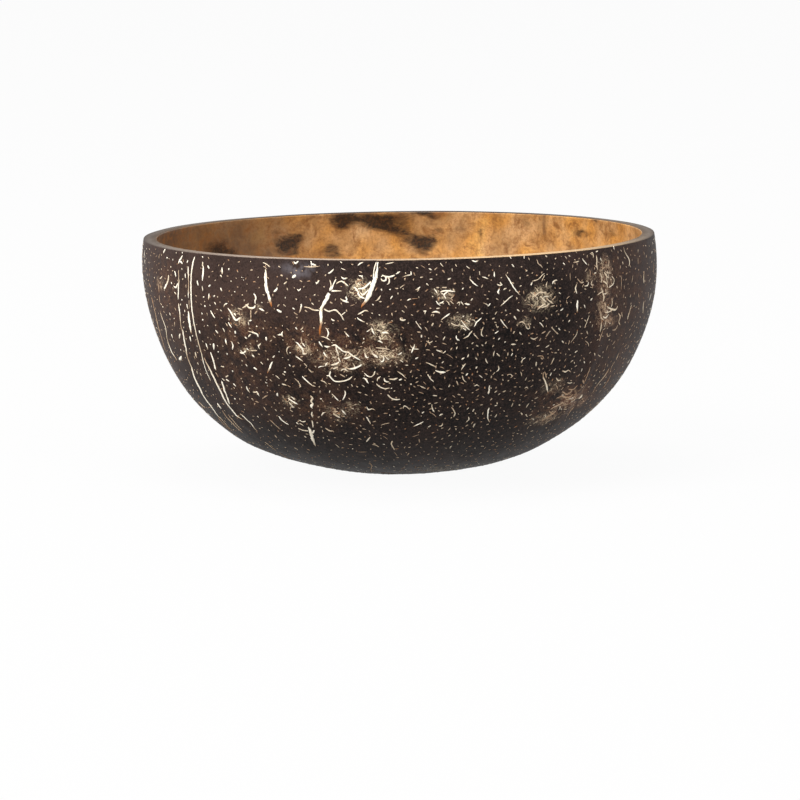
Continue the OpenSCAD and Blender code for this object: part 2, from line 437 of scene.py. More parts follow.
def shellOutside():
    # waxed coconut shell, sanded: near black brown with darker pores, tan matted fibre and rusty patches, satin; with
    # painted light too: a lighter left side, painted grey reflection near the edges and a painted bluish sheen under
    # the rim
    material, surface = newMaterial("waxed_coconut_shell")
    look = skinFinish
    at = addNode(material, "ShaderNodeTexCoord").outputs["Object"]
    broad = grain(material, at, look["broad"], 3, 0.6)
    middle = grain(material, at, look["middle"], 4, 0.65)
    fine = grain(material, at, look["fine"], 2, 0.6)
    # the skin's own tone mixed with painted light: lighter at the left where the key falls, greyer near the edges as
    # a painted reflection
    palenessAndPaintedLight = sums(material, "ADD", attribute(material, "palenessAndPaintedLight"), swing(material, broad, 1.6))
    body = mixColour(material, ramp(material, palenessAndPaintedLight, [(0.0, 0.0), (1.0, 1.0)]), look["dark"], look["pale"])
    rust = times(material, attribute(material, "rust"), ramp(material, middle, [(0.42, 0.0), (0.6, 1.0)]))
    body = mixColour(material, times(material, rust, look["rusty"]), body, look["rust"])
    body = mixColour(material, ramp(material, fine, [(0.4, 0.0), (0.8, 0.5)]), body, look["worn"])
    specks = grain(material, at, look["speck"], 1, 0.5)
    body = mixColour(material, ramp(material, specks, [(0.5, 0.0), (0.72, 0.32)]), body, look["specks"])
    pores = ramp(material, grain(material, at, look["pore"], 1, 0.5, distortion=0.5), [(0.28, 1.0), (0.42, 0.0)])
    body = mixColour(material, times(material, pores, look["porous"]), body, look["pores"])
    # painted sheen: a bluish grey highlight under the front rim, in place of the satin's reflection
    paintedSheen = times(material, attribute(material, "paintedSheen"), ramp(material, middle, [(0.44, 0.0), (0.58, 0.6)]))
    body = mixColour(material, paintedSheen, body, look["paintedSheen"])
    # the matted fibre: tufts, each a brown halo with pale curled threads in it
    clumps = ramp(material, grain(material, at, look["tuft"], 4, 0.7, distortion=0.6), [(0.34, 0.0), (0.62, 1.3)])
    tufts = ramp(material, times(material, attribute(material, "fuzz"), clumps), [(0.1, 0.0), (0.7, 1.0)])
    coarse, small = look["curls"]
    curls = sums(material, "MAXIMUM", threads(material, at, coarse, 0.035), threads(material, at, small, 0.04))
    halo = mixColour(material, attribute(material, "rust"), look["halo"], look["rustyHalo"])
    thread = mixColour(material, attribute(material, "tanThreads"), look["thread"], look["tanThread"])
    body = mixColour(material, times(material, tufts, look["matted"]), body, halo)
    body = mixColour(material, times(material, tufts, curls), body, thread)
    rustyCurls = times(material, rust, times(material, curls, look["rustyCurls"]))
    body = mixColour(material, rustyCurls, body, look["rustyThread"])
    plug(material, ramp(material, middle, [(0.2, 0.45), (0.8, 0.62)]), surface.inputs["Roughness"])
    relief = sums(material, "ADD", times(material, fine, 0.5), times(material, tufts, 0.6))
    finishWith(material, surface, body, look["specular"], relief, 0.35, 0.0002)
    return material


rimFinish = {   # sizes of the grain in mm, and colours from the outer edge to the inner one
    "middle": 2.0, "fine": 0.5, "specular": 0.12, "roughness": 0.65,
    "edge": [(0.0, "#4f4640"), (0.3, "#85786d"), (0.62, "#80705f"), (1.0, "#7c5c38")],
    "darkEdge": [(0.0, "#38322e"), (0.4, "#4a423c"), (0.8, "#3a3028"), (1.0, "#43341f")],
    "tints": {"rimFront": "#9c8b7e", "rimGold": "#c4a57c", "rimBack": "#33271f"}, "pores": "#3a2e27",
}


def shellRim():
    # sawn and sanded edge of the shell: dull end grain, grey brown outside and yellower inside, with dark pores
    material, surface = newMaterial("sawn_shell_edge")
    look = rimFinish
    at = addNode(material, "ShaderNodeTexCoord").outputs["Object"]
    middle = grain(material, at, look["middle"], 4, 0.65)
    fine = grain(material, at, look["fine"], 2, 0.5)
    across = sums(material, "ADD", attribute(material, "across"), swing(material, middle, 0.7))
    body = ramp(material, across, look["edge"])
    for side, tint in look["tints"].items():
        body = mixColour(material, attribute(material, side), body, tint)
    ends = times(material, attribute(material, "rimEnds"), ramp(material, middle, [(0.3, 0.6), (0.7, 1.0)]))
    body = mixColour(material, ends, body, ramp(material, across, look["darkEdge"]))
    body = mixColour(material, ramp(material, fine, [(0.3, 0.6), (0.5, 0.0)]), body, look["pores"])
    surface.inputs["Roughness"].default_value = look["roughness"]
    finishWith(material, surface, body, look["specular"], fine, 0.25, 0.00015)
    return material


wallFinish = {   # sizes of the grain in mm, and colours
    "broad": 11, "middle": 3.2, "fine": 0.7, "hue": 9, "streaks": 2.6, "stretch": (0.5, 0.8, 1.3), "specular": 0.3,
    "gold": [(0.3, "#6f4a28"), (0.42, "#a5753a"), (0.56, "#c8924c"), (0.75, "#deb066")],
    "tan": [(0.3, "#75583f"), (0.42, "#a98457"), (0.56, "#c39a6a"), (0.75, "#d6b284")],
    "stain": [(0.2, "#5f4025"), (0.45, "#3a2617"), (0.8, "#17100b")],
    "shade": "#574536", "mottle": "#80552c", "scrapes": "#6b4423",
}


def shellInside():
    # scraped and oiled inner wall: golden brown with dark smoky stains, fine scraping marks and painted shade at the
    # left
    material, surface = newMaterial("oiled_inner_wall")
    look = wallFinish
    at = addNode(material, "ShaderNodeTexCoord").outputs["Object"]
    broad = grain(material, at, look["broad"], 4, 0.65, distortion=0.8)
    middle = grain(material, at, look["middle"], 5, 0.7, distortion=0.6)
    fine = grain(material, at, look["fine"], 2, 0.6)
    hue = ramp(material, grain(material, at, look["hue"], 2, 0.5), [(0.38, 0.0), (0.62, 1.0)])
    body = mixColour(material, hue, ramp(material, broad, look["gold"]), ramp(material, broad, look["tan"]))
    # painted shade: the left of the inner wall darkened and browned, where it lies out of the key light
    shade = times(material, attribute(material, "shade"), ramp(material, middle, [(0.2, 0.6), (0.8, 1.0)]))
    body = mixColour(material, shade, body, look["shade"])
    body = mixColour(material, ramp(material, middle, [(0.33, 0.85), (0.5, 0.0)]), body, look["mottle"])
    streaks = grain(material, at, look["streaks"], 5, 0.68, look["stretch"], 1.6)
    uneven = sums(material, "ADD", swing(material, streaks, 1.5), swing(material, middle, 0.7))
    stained = attribute(material, "stain")
    stain = sums(material, "ADD", times(material, stained, 0.85), uneven)
    share = times(material, ramp(material, stain, [(0.1, 0.0), (0.42, 0.6), (0.8, 0.96)]),
                  ramp(material, stained, [(0.03, 0.0), (0.5, 1.0)]))
    body = mixColour(material, share, body, ramp(material, stain, look["stain"]))
    body = mixColour(material, ramp(material, fine, [(0.35, 0.35), (0.55, 0.0)]), body, look["scrapes"])
    plug(material, ramp(material, broad, [(0.2, 0.4), (0.8, 0.58)]), surface.inputs["Roughness"])
    finishWith(material, surface, body, look["specular"], middle, 0.3, 0.0003)
    return material


bowl, turns, rises, depths = makeShell()
paintShell(bowl, turns, rises, depths)
for finish in (shellOutside(), shellRim(), shellInside()):
    bowl.data.materials.append(finish)
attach(bowl, "root")
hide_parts("shell")
print("shell:", len(bowl.data.vertices), "vertices")


fibreLook = {   # from the orange brown of the ends to the cream of the middle
    "tones": [(0.0, "#6f3a19"), (0.2, "#b06c34"), (0.38, "#a6866a"), (0.7, "#dccaae"), (0.95, "#fff8e6")],
    "streak": 0.4, "streaky": 0.5, "specular": 0.12, "roughness": 0.7,
}


def fibreFinish():
    # bare husk fibre, dry and dull: cream where it was sanded through, orange brown at the ends
    material, surface = newMaterial("dry_husk_fibre")
    at = addNode(material, "ShaderNodeTexCoord").outputs["Object"]
    fine = grain(material, at, fibreLook["streak"], 2, 0.6)
    streaks = times(material, sums(material, "SUBTRACT", fine, 0.43), fibreLook["streaky"])
    tone = sums(material, "ADD", attribute(material, "tone"), streaks)
    plug(material, ramp(material, tone, fibreLook["tones"]), surface.inputs["Base Color"])
    surface.inputs["Specular IOR Level"].default_value = fibreLook["specular"]
    surface.inputs["Roughness"].default_value = fibreLook["roughness"]
    return material


husk = fibreFinish()


def dulled(tone, by):
    # a browner tone, which stays clear of the orange of the ends
    return np.maximum(tone - by, np.minimum(tone, 0.4))


# ---- strands: each stroke is a list of (picture x, picture y, width in mm, tone) or, round the back and
# underneath, of (turn, rise, width, tone); tone is 0 for orange brown, 0.5 for tan and 1 for cream

strandShape = {
    "step": 0.55, "perTurn": 1.1, "perRise": 0.93,          # mm between points, mm in a degree of turn and of rise
    "uneven": 0.22, "endShare": 0.35, "sway": 0.07,         # share of the width, of the width, degrees
    "proud": 0.05, "proudShare": 0.12, "sides": 1,          # mm, of the width, bevel resolution
}


def strand(name, strokes, onPicture=True, node=None, thick=1.0, duller=0.0):
    form = strandShape
    curve = bpy.data.curves.new(name, "CURVE")
    curve.dimensions = "3D"
    curve.bevel_depth = mm
    curve.bevel_resolution = form["sides"]
    curve.use_fill_caps = True
    toneSpots, tones = [], []
    for stroke in strokes:
        at = [spot(p[0], p[1]) if onPicture else (p[0], p[1]) for p in stroke]
        turn, rise = np.unwrap([a[0] for a in at], period=360), np.array([a[1] for a in at])
        width, tone = thick * np.array([p[2] for p in stroke]), dulled(np.array([p[3] for p in stroke]), duller)
        rule = np.arange(len(at), dtype=float)
        hops = np.hypot(np.diff(turn) * form["perTurn"], np.diff(rise) * form["perRise"])
        along = np.concatenate([[0], np.cumsum(hops)])
        count = max(5, int(along[-1] / form["step"]) + 2)
        t = np.interp(np.linspace(0, along[-1], count), along, rule)
        soft = smooth(rule, np.stack([turn, rise, width, tone], -1), t)
        wide = soft[:, 2] * (1 + form["uneven"] * rng.uniform(-1, 1, count))
        wide[0], wide[-1] = form["endShare"] * wide[0], form["endShare"] * wide[-1]
        proud = form["proud"] + form["proudShare"] * wide
        thickness = (wide * wide / 4 + proud * proud) / (2 * proud)   # the round that is so wide at the skin
        sway = form["sway"] * rng.uniform(-1, 1, count)
        centre = skin(soft[:, 0] + sway, soft[:, 1], swell(soft[:, 0], soft[:, 1]) + proud - thickness)
        spline = curve.splines.new("POLY")
        spline.points.add(count - 1)
        spline.points.foreach_set("co", np.concatenate([centre, np.ones((count, 1))], 1).ravel())
        spline.points.foreach_set("radius", thickness)
        toneSpots.append(centre)
        tones.append(soft[:, 3])
    piece = bpy.data.objects.new(name, curve)
    bpy.context.collection.objects.link(piece)
    alone(piece)
    bpy.ops.object.convert(target="MESH")
    piece = bpy.context.object
    bpy.ops.object.mode_set(mode="EDIT")
    bpy.ops.mesh.select_all(action="SELECT")
    bpy.ops.mesh.remove_doubles(threshold=0.000001)
    bpy.ops.mesh.normals_make_consistent(inside=False)
    bpy.ops.object.mode_set(mode="OBJECT")
    flat = np.empty(len(piece.data.vertices) * 3)
    piece.data.vertices.foreach_get("co", flat)
    flat = flat.reshape(-1, 3)
    toneSpots, tones = np.concatenate(toneSpots), np.concatenate(tones)
    nearest = [int(np.argmin(((toneSpots - point) ** 2).sum(1))) for point in flat]
    layer = piece.data.attributes.new("tone", "FLOAT", "POINT")
    layer.data.foreach_set("value", tones[nearest].astype(np.float32))
    piece.data.polygons.foreach_set("use_smooth", np.ones(len(piece.data.polygons), bool))
    piece.data.materials.clear()
    piece.data.materials.append(husk)
    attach(piece, "root")
    if node:
        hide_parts(node)
    return piece


def smooth(rule, values, t):
    # a smooth run through the given values at the steps of rule
    out = []
    for each in t:
        i = min(int(each), len(rule) - 2)
        f = each - i
        p0, p1, p2, p3 = (values[min(max(k, 0), len(rule) - 1)] for k in (i - 1, i, i + 1, i + 2))
        out.append(0.5 * (2 * p1 + (p2 - p0) * f + (2 * p0 - 5 * p1 + 4 * p2 - p3) * f * f
                          + (3 * p1 - p0 - 3 * p2 + p3) * f ** 3))
    return np.array(out)


strands = {
    "left_seam_fibre": [
        [(195.5, 257, .3, .9), (194, 262, .45, .95), (192.8, 270, .45, .9), (192.3, 280, .45, .9),
         (192.2, 295, .5, .95),
         (192.5, 305, .5, .95), (193.5, 315, .5, .95), (195, 325, .45, .85), (197.5, 337, .4, .7), (200, 346, .4, .6),
         (202.5, 355, .45, .7), (204, 362, .55, .95), (207, 372, .6, 1), (210, 378, .4, .9), (211.5, 381, .25, .4)],
        [(205, 357, .4, .4), (209, 365, .5, .6), (212, 371, .5, .85), (216, 379, .6, .8), (220, 387, .7, .85),
         (223, 393, .7, .95), (226, 399, .7, 1), (230, 405, .8, 1), (234, 410, .8, 1), (237.5, 414.5, .7, .95),
         (241, 417, .4, .6), (244, 419, .25, .3)],
        [(240.5, 413, .4, .6), (244, 416, .6, .9), (248, 420, .55, 1), (251.5, 423, .55, 1), (255, 428, .35, .6),
         (258, 431, .2, .3)],
        [(210.5, 352, .5, .95), (212.5, 357, .6, .95), (214, 362, .5, .95), (215.5, 368, .6, 1),
         (216.3, 370, .3, .6)],
        [(222, 380.5, .5, .8), (223.5, 385, .6, 1), (225, 390, .6, 1), (227, 394, .5, .95), (229, 399, .5, .9),
         (230.5, 403, .4, .9)],
        [(189, 266.5, .4, 1), (189.3, 273, .4, .9), (189.6, 281, .28, .5), (189.4, 289, .3, .6), (189, 293, .45, .9),
         (189.2, 298, .4, .9)],
        [(189.5, 300, .25, .5), (189.7, 309, .25, .5)],
        [(188.5, 311, .6, .9), (188.8, 317, .95, 1), (189.5, 324, .95, 1), (190.5, 330, .7, .9),
         (191.5, 334, .3, .2)],
    ],
    "left_flank_fibre": [
        [(179.5, 270, .25, .5), (179.8, 281, .3, .6), (179.2, 285, .5, .9), (178.8, 292, .55, .95),
         (178.5, 299.5, .4, .8)],
        [(179, 303.5, .35, .7), (179.5, 310, .45, .85), (180.3, 318, .35, .7), (181.3, 328, .25, .4),
         (182.8, 331, .45, .8),
         (184, 340, .6, .9), (186, 349, .6, .85), (187, 356, .4, .5), (189.5, 363, .4, .5), (192, 369, .6, .85),
         (193.5, 375, .8, .95), (196, 381, .9, 1), (200, 388, 1.0, 1), (203, 394, .9, 1), (207, 400, .7, .9),
         (212, 406, .7, .95), (216, 411.5, .6, .95), (219, 415.5, .5, .7), (223, 419, .4, .5), (228, 425, .35, .45),
         (233, 430, .3, .35)],
    ],
    "left_outer_fibre": [
        [(160.5, 312, .3, .5), (162.5, 319, .45, .7), (165.5, 328, .5, .8), (167, 340, .4, .6), (169, 346, .5, .8),
         (170.5, 350, .6, .95), (172.5, 354, .6, .9), (174.5, 357, .4, .6), (177, 361, .3, .4)],
        [(152, 297, .5, .35), (155, 312, .5, .4), (157.5, 325, .6, .45), (162, 340, .5, .4), (165, 350, .4, .35)],
    ],
    "front_left_fibre": [
        [(265.5, 269, .9, .75), (265.5, 276, 1.1, .85), (265.5, 283, 1.2, 1), (267, 291, 1.2, 1),
         (269.3, 298, 1.0, .95),
         (270.8, 302.5, .8, .3), (272, 307, .4, .1)],
    ],
    "front_fibre": [
        [(331.5, 290.5, 1.1, .9), (328.5, 294, 1.3, 1), (326.5, 299, 1.1, 1), (323, 305, .9, 1), (321, 310, .8, .95),
         (320.8, 317, .9, 1), (320.8, 321, 1.0, .7), (320.6, 326, .9, .25), (319.3, 335, .4, .1)],
        [(336, 279, .3, .8), (333, 285, .4, .9), (331, 290, .9, .9)],
        [(330, 280, .25, .6), (331, 285, .3, .7), (330, 291, .6, .9)],
        [(342, 291, .25, .6), (336, 291, .35, .8), (331, 291, .7, .9)],
        [(319, 310.5, .5, .8), (313, 310, .35, .6), (309, 308, .35, .6), (304, 307, .3, .5)],
        [(301, 304, .35, .9), (301, 308, .4, .8), (299, 313, .25, .3)],
        [(324, 309, .4, .7), (329, 311.5, .4, .8), (335, 310, .35, .8), (340, 314, .35, .7), (344, 320.5, .3, .8)],
        [(345.5, 312, .25, .8), (341.5, 315, .3, .8)],
    ],
    "front_right_fibre": [
        [(378, 262, .35, .9), (377, 270, .5, .95), (376, 277, .8, 1), (373, 284, 1.2, 1), (370.5, 291, 1.3, 1),
         (367, 299, 1.0, .8), (363.5, 304, .7, .25), (361, 308, .35, .1)],
        [(376, 262, .3, .8), (374, 271, .35, .8), (373.5, 277, .4, .9), (374, 283, .6, 1)],
        [(354, 287, .3, .9), (357.5, 291, .5, .9), (359.5, 296, .5, .9), (365, 298.5, .6, 1)],
        [(357, 289, .3, .8), (364, 288, .5, .9), (371, 282, .5, .9)],
        [(360, 292, .3, .7), (363, 295, .4, .9), (368, 290, .4, .9)],
    ],
    "lower_fibre": [
        [(308.5, 426.5, .4, .8), (310.5, 430.5, 1.0, .9), (311.8, 435, 1.1, .9), (313.3, 440, .8, .85),
         (315.8, 445.5, .3, .6)],
        [(314.5, 429.5, .5, .9), (313, 433, .7, .9)],
        [(298.5, 428, .35, .7), (303, 430, .45, .7), (309, 430.5, .6, .8)],
        [(310.5, 395.5, .5, .6), (312.5, 398, .6, .7), (311, 401.5, .6, .7), (313, 403.5, .6, .8),
         (311.3, 406.5, .7, 1),
         (312.5, 408.5, .3, .7)],
        [(312.5, 411.5, .3, .7), (311.8, 414, .35, .8), (312.8, 417, .35, .7)],
        [(312, 420, .3, .7), (313, 424, .4, .8), (313.3, 427, .3, .7)],
    ],
    "right_flank_fibre": [
        [(576.5, 284, .35, .5), (575.5, 288.5, .45, .7), (576.7, 293.5, .4, .8)],
        [(577.3, 300, .45, .9), (577.3, 305, .6, 1), (577.2, 309, .55, .85), (577, 312.5, .4, .2)],
    ],
}
for node, strokes in strands.items():
    strand(node + "_strands", strokes, True, node)
strand("right_seam_fibre_strands", [
    [(51.5, 1, .3, .6), (51.8, -3, .35, .6)], [(51.2, -7, .3, .5), (51.6, -10, .3, .5)],
    [(51.8, -15, .25, .4), (51.4, -18, .3, .45)], [(51.3, -26, .25, .4), (51.7, -31, .25, .35)],
], False, "right_seam_fibre")
strand("rear_seam_fibre_strands", [
    [(180, 3, .3, .8), (180.6, -8, .5, .9), (179.7, -20, .6, .9), (180.4, -34, .5, .8), (179.6, -47, .3, .2)],
    [(177, 1, .3, .8), (177.6, -6, .8, 1), (178.2, -12, .5, .2)],
], False, "rear_seam_fibre")


# finer loose fibres, curls and forks, placed one by one
looseFibres = {
    "left": [
        [(183.5, 255.5, .35, 1), (181.5, 259, .6, 1), (180, 262.5, 1.0, 1), (179.5, 264, .6, .9)],
        [(181, 261, .6, 1), (183.7, 263.7, .35, .9)],
        [(175.5, 271, .4, .95), (176.5, 274, .5, 1), (176.8, 277, .4, .8)],
        [(169.8, 275, .4, .7), (169, 280, .5, .7), (167.5, 284, .7, .85), (165.5, 288, 1.0, .9), (165, 291, .5, .7)],
        [(174.5, 286, .5, .8), (176.5, 287.5, .6, .9), (178.5, 283, .6, .9)],
        [(203, 265, .4, .8), (203.7, 270, .9, 1), (203, 275, .8, 1), (202.8, 281, .7, .95)],
        [(222.3, 267.5, .45, 1), (222.2, 271.5, .4, .9), (222.3, 274.5, .3, .3)],
        [(241.8, 277, .4, .8), (243.3, 278.5, .8, .95), (244, 280.5, .4, .8)],
        [(209, 293.5, .4, .9), (209, 297, .4, .8), (208.8, 300, .25, .3)],
        [(210.8, 310.3, .35, .9), (212.8, 314, .4, .9), (215.3, 318, .35, .9)],
        [(223.5, 307, .25, .4), (225, 304.5, .35, .8), (227.5, 303.3, .3, .8)],
        [(228, 308, .35, .8), (231.5, 313.5, .45, .9), (234, 317.5, .55, .9), (236.5, 320.5, .6, .95),
         (240, 317.5, .35, .8)],
        [(234, 313, .5, .8), (236, 316, .6, .85)],
        [(242.5, 308, .35, .6), (246, 306, .4, .7), (249, 303.5, .35, .7)],
        [(246, 304, .35, .7), (250, 308, .5, .8), (254.5, 307.5, .5, .9), (255.5, 305, .3, .7)],
        [(254, 293.5, .35, .9), (256.3, 297.5, .4, .9), (255, 301, .35, .8), (255.5, 304, .4, .9)],
        [(259.5, 308.5, .5, .9), (262, 309.5, .6, 1), (264.5, 310.8, .4, .9)],
        [(251, 310, .35, .45), (251, 319, .35, .45)],
        [(249, 321, .4, .8), (251.5, 320, .6, .95)],
        [(228.5, 322, .35, .9), (230, 324.5, .4, .9), (231.8, 327.5, .3, .8)],
        [(226, 338.8, .45, .9), (226.3, 342, .5, 1), (227.5, 345, .25, .3)],
        [(206.3, 343, .5, .95), (207.3, 346.5, .45, .9), (208.3, 349.5, .25, .5)],
        [(232, 341.5, .35, .8), (233.5, 345, .45, .9), (232.8, 349.5, .35, .8)],
        [(248, 331, .2, .5), (253, 332.5, .3, .8), (257.5, 334.3, .45, .9), (258.3, 337, .55, .95)],
        [(261, 343.5, .3, .7), (258.5, 346, .4, .8), (260, 349, .3, .7)],
        [(240, 352, .35, .8), (243, 353, .5, .9), (246, 350.5, .45, .9)],
        [(246.5, 348, .6, .95), (249, 350, .4, .8)],
        [(251, 350.5, .4, .55), (257, 350.5, .4, .55)],
        [(195, 352, .5, .8), (197, 358, .4, .5)],
        [(216, 372, .3, .4), (219, 377, .4, .4)],
        [(217.5, 402.5, .6, .9), (220, 406, .8, 1), (222, 408.5, .7, .95)],
        [(223, 410, .3, .4), (227, 416, .4, .45), (232, 421, .4, .5), (238, 427, .4, .45), (244, 432, .3, .4)],
        [(229, 414, .3, .4), (234, 420, .35, .5), (239, 425.5, .4, .55), (243, 429, .3, .4)],
        [(219, 417, .3, .35), (225, 424, .3, .35), (231, 429, .3, .35)],
        [(199, 401, .4, .4), (203, 405, .5, .6), (206, 408, .4, .5)],
        [(246.5, 386, .4, .8), (248, 389.5, .5, .9), (250, 392.5, .3, .5)],
        [(256.5, 391, .5, .9), (258, 393.5, .6, 1), (259.5, 396, .4, .8)],
        [(253, 392, .4, .7), (257, 392, .4, .7)],
    ],
    "front": [
        [(263, 262.5, .25, .7), (267, 264.5, .3, .7), (270, 267, .25, .6)],
        [(263.5, 266, .25, .5), (267, 269, .25, .5)],
        [(293.5, 261.5, .3, .8), (295.5, 263.5, .45, 1), (298.5, 261, .3, 1)],
        [(311, 261, .5, .9), (311.8, 264, .9, 1), (311, 267, .4, .8)],
        [(312, 264, .8, 1), (316, 265.5, .4, .8)],
        [(303.5, 266.5, .2, .4), (312, 267, .25, .6), (320, 266, .2, .4)],
        [(328, 273.5, .3, .8), (330.5, 272.5, .45, .9), (333.5, 269, .3, .8)],
        [(273.5, 291.5, .4, .8), (275.5, 291, .55, .9), (277.5, 287.5, .4, .8)],
        [(315.5, 282, .4, .8), (316.5, 283.5, .45, .9), (319, 280.3, .3, .8)],
        [(297, 289, .3, .7), (298.3, 290.7, .45, .9), (300.5, 288.8, .3, .8)],
        [(340, 298.5, .25, .5), (343, 300.5, .4, .8), (346, 301.5, .7, 1), (348.5, 302.5, .4, .8)],
        [(346, 296.5, .3, .8), (346.5, 301, .6, 1)],
        [(358, 314.5, .3, .7), (361.5, 312.5, .45, .8), (365, 310.5, .35, .7), (368.5, 311.5, .3, .5)],
        [(357, 317.5, .35, .9), (360, 320, .35, .9), (364.5, 322, .25, .6)],
        [(331, 318.5, .25, .7), (333, 320.6, .4, .9), (335, 320.6, .3, .6)],
        [(336, 284, .3, .6), (341, 281.3, .45, .8), (345, 283.5, .35, .8), (348, 286, .4, .9)],
        [(341, 276.5, .3, .7), (343.5, 278.7, .45, .9), (347, 278, .3, .6)],
        [(358.5, 275.5, .4, .8), (361.5, 276.5, .8, .95), (363, 279, .4, .7)],
        [(357, 279, .3, .5), (360, 280, .35, .6)],
        [(381, 277, .4, .8), (383, 275.5, .4, .8), (386, 277.5, .45, .9), (385.5, 280.5, .5, .9),
         (382.5, 280.8, .4, .8),
         (381, 278.5, .4, .7)],
        [(385, 276, .4, .8), (389, 277, .4, .8), (393, 276, .45, .9), (395, 275, .3, .7)],
        [(388.5, 277.5, .35, .8), (389.5, 282, .4, .8), (387, 284.5, .35, .8)],
        [(375.5, 301, .25, .5), (378.5, 299, .3, .7), (380.5, 295.5, .25, .6)],
        [(325.5, 328, .3, .7), (327.8, 330.5, .4, .9), (328, 334.5, .4, .9), (327, 337.5, .4, .8)],
        [(321, 336.5, .2, .5), (326, 338, .35, .8), (330.5, 340.5, .25, .7)],
        [(277.5, 335, .3, .7), (281.5, 334.5, .55, .9)],
        [(282.5, 331.5, .4, .9), (282, 335, .5, .9), (283.5, 337, .25, .3)],
        [(344, 331.5, .2, .5), (347, 334.5, .35, .8), (349.5, 336.8, .55, .95)],
        [(296, 342, .5, .9), (300, 346, .5, .9), (303, 350, .45, .8), (303, 354, .4, .8), (307, 353.5, .4, .7)],
        [(302, 343, .35, .8), (305, 347, .4, .8)],
        [(301, 337, .25, .4), (301.5, 341, .35, .7)],
        [(290.5, 346.5, .25, .4), (287.5, 347.5, .3, .7), (286.5, 351, .3, .6), (288, 355, .25, .4)],
        [(318.8, 341.5, .35, .9), (320.5, 344, .5, 1), (322.5, 347, .3, .8)],
        [(323.5, 352, .35, .9), (325, 355, .4, .9), (328, 358, .25, .5)],
        [(295.5, 356, .3, .8), (299, 358.5, .4, .9), (303, 361.5, .25, .5)],
        [(304, 363.5, .25, .5), (307, 366.5, .3, .7)],
        [(308, 368.5, .25, .5), (312, 372.5, .3, .6)],
        [(331.5, 346, .4, .7), (335, 345, .5, .9), (339, 348, .45, .9), (343, 351.5, .4, .9), (348, 352.5, .35, .8),
         (353, 356, .45, .95), (360.5, 360.3, .3, .8)],
        [(336, 346, .4, .8), (337, 351, .35, .8), (339, 355, .3, .7)],
        [(344.5, 356.5, .3, .7), (347, 353, .3, .6)],
        [(343.5, 358.5, .5, .9), (348, 357.8, .5, .9), (351, 355.5, .35, .8)],
        [(353, 356, .3, .7), (357, 355, .25, .5), (359.5, 350.5, .2, .4)],
        [(324, 346, .4, .8), (327, 347, .5, .9), (330, 346.5, .3, .6)],
        [(371.5, 327.5, .3, .7), (372.5, 331, .45, .9), (375, 334.5, .4, .8)],
        [(381, 333, .4, .8), (385.5, 332.3, .6, 1), (389, 333.5, .3, .6)],
        [(377, 330, .4, .7), (381, 331, .4, .8)],
        [(379, 336, .4, .7), (381, 340, .35, .7)],
        [(378, 341, .35, .8), (380, 341, .4, .9), (383, 343, .3, .8)],
        [(364.5, 352.5, .35, .6), (366.5, 357.5, .5, .9), (369, 357, .4, .8)],
        [(372, 353, .4, .7), (375.5, 356, .6, .8), (378, 358, .5, .8)],
        [(380, 355, .4, .7), (384, 357.5, .4, .8), (383, 361, .45, .95), (380.5, 362, .4, .8)],
        [(378, 351, .3, .6), (384, 351.5, .3, .6)],
        [(376, 347.5, .3, .5), (384, 348.5, .35, .6), (390, 349.5, .3, .5)],
    ],
    "low_front": [
        [(272.3, 361.8, .45, 1), (270.5, 366.5, .55, 1), (268.8, 370, .35, .5), (267.5, 373, .25, .1)],
        [(267, 379.5, .5, .9), (266.8, 383, 1.25, .95), (267.8, 386.3, .5, .8)],
        [(302.3, 376.3, .35, 1), (305.5, 380, .4, 1), (309, 383, .35, .8), (312.5, 385.8, .3, .6),
         (315.5, 386.3, .3, .6)],
        [(294.5, 378.5, .25, .4), (298, 382, .3, .6), (300.5, 386, .35, .7), (299, 387.3, .3, .6)],
        [(320.5, 380.3, .3, .5), (324, 381.5, .35, .7), (327.5, 384.5, .25, .4)],
        [(330.3, 371, .35, .8), (329.8, 375.5, .4, .9), (332.5, 379.5, .45, 1), (336, 381.5, .4, .9),
         (342, 381.3, .35, .8),
         (348, 379.8, .35, .8), (352, 376.5, .35, .6)],
        [(326.5, 375.5, .4, .8), (329.5, 375.8, .4, .9)],
        [(344, 366, .25, .4), (348, 368.8, .4, .55), (353, 368.7, .55, 1), (358, 367, .55, 1),
         (361.5, 364.5, .35, 1)],
        [(341, 371, .3, .7), (344, 369, .35, .8), (348, 371.5, .3, .7)],
        [(325, 366, .4, .8), (327.5, 362.5, .4, .8)],
        [(331, 365, .6, .7), (336, 364, .6, .8), (339, 362, .4, .8)],
        [(333, 369, .5, .7), (338, 367, .5, .7)],
        [(338, 357.5, .35, .8), (340.5, 362, .3, .9)],
        [(340, 374, .3, .5), (345, 377, .3, .5)],
        [(363, 378, .35, .9), (366, 379.5, .4, .95), (368.2, 383.5, .4, .9)],
        [(364.5, 373, .3, .8), (367.5, 376.3, .35, .9), (371, 377, .3, .8), (374.3, 374.5, .3, .7),
         (374.8, 371, .3, .8)],
        [(380.5, 376.7, .3, .7), (377.7, 378.7, .3, .8), (377.2, 381.5, .25, .6)],
        [(376.3, 384, .25, .6), (380, 387.3, .3, .8), (385, 389, .35, .7), (389.5, 388, .3, .6)],
        [(384, 378, .35, .7), (385.5, 381.5, .45, .9), (389, 382, .35, .7)],
        [(389, 379, .4, .6), (394, 379.5, .5, .7), (397.5, 378, .4, .7)],
        [(331.5, 393.5, .25, .6), (335, 397, .35, .8), (338.5, 400.5, .4, 1)],
        [(344.8, 390.5, .35, .8), (345.3, 395, .4, .9), (343, 399.8, .35, .9)],
        [(288, 398, .4, .7), (292, 401, .5, .9), (297.5, 404, .45, 1)],
        [(291, 396.5, .35, .8), (295, 399.5, .4, .9)],
        [(289, 402, .4, .7), (293, 406, .4, .8)],
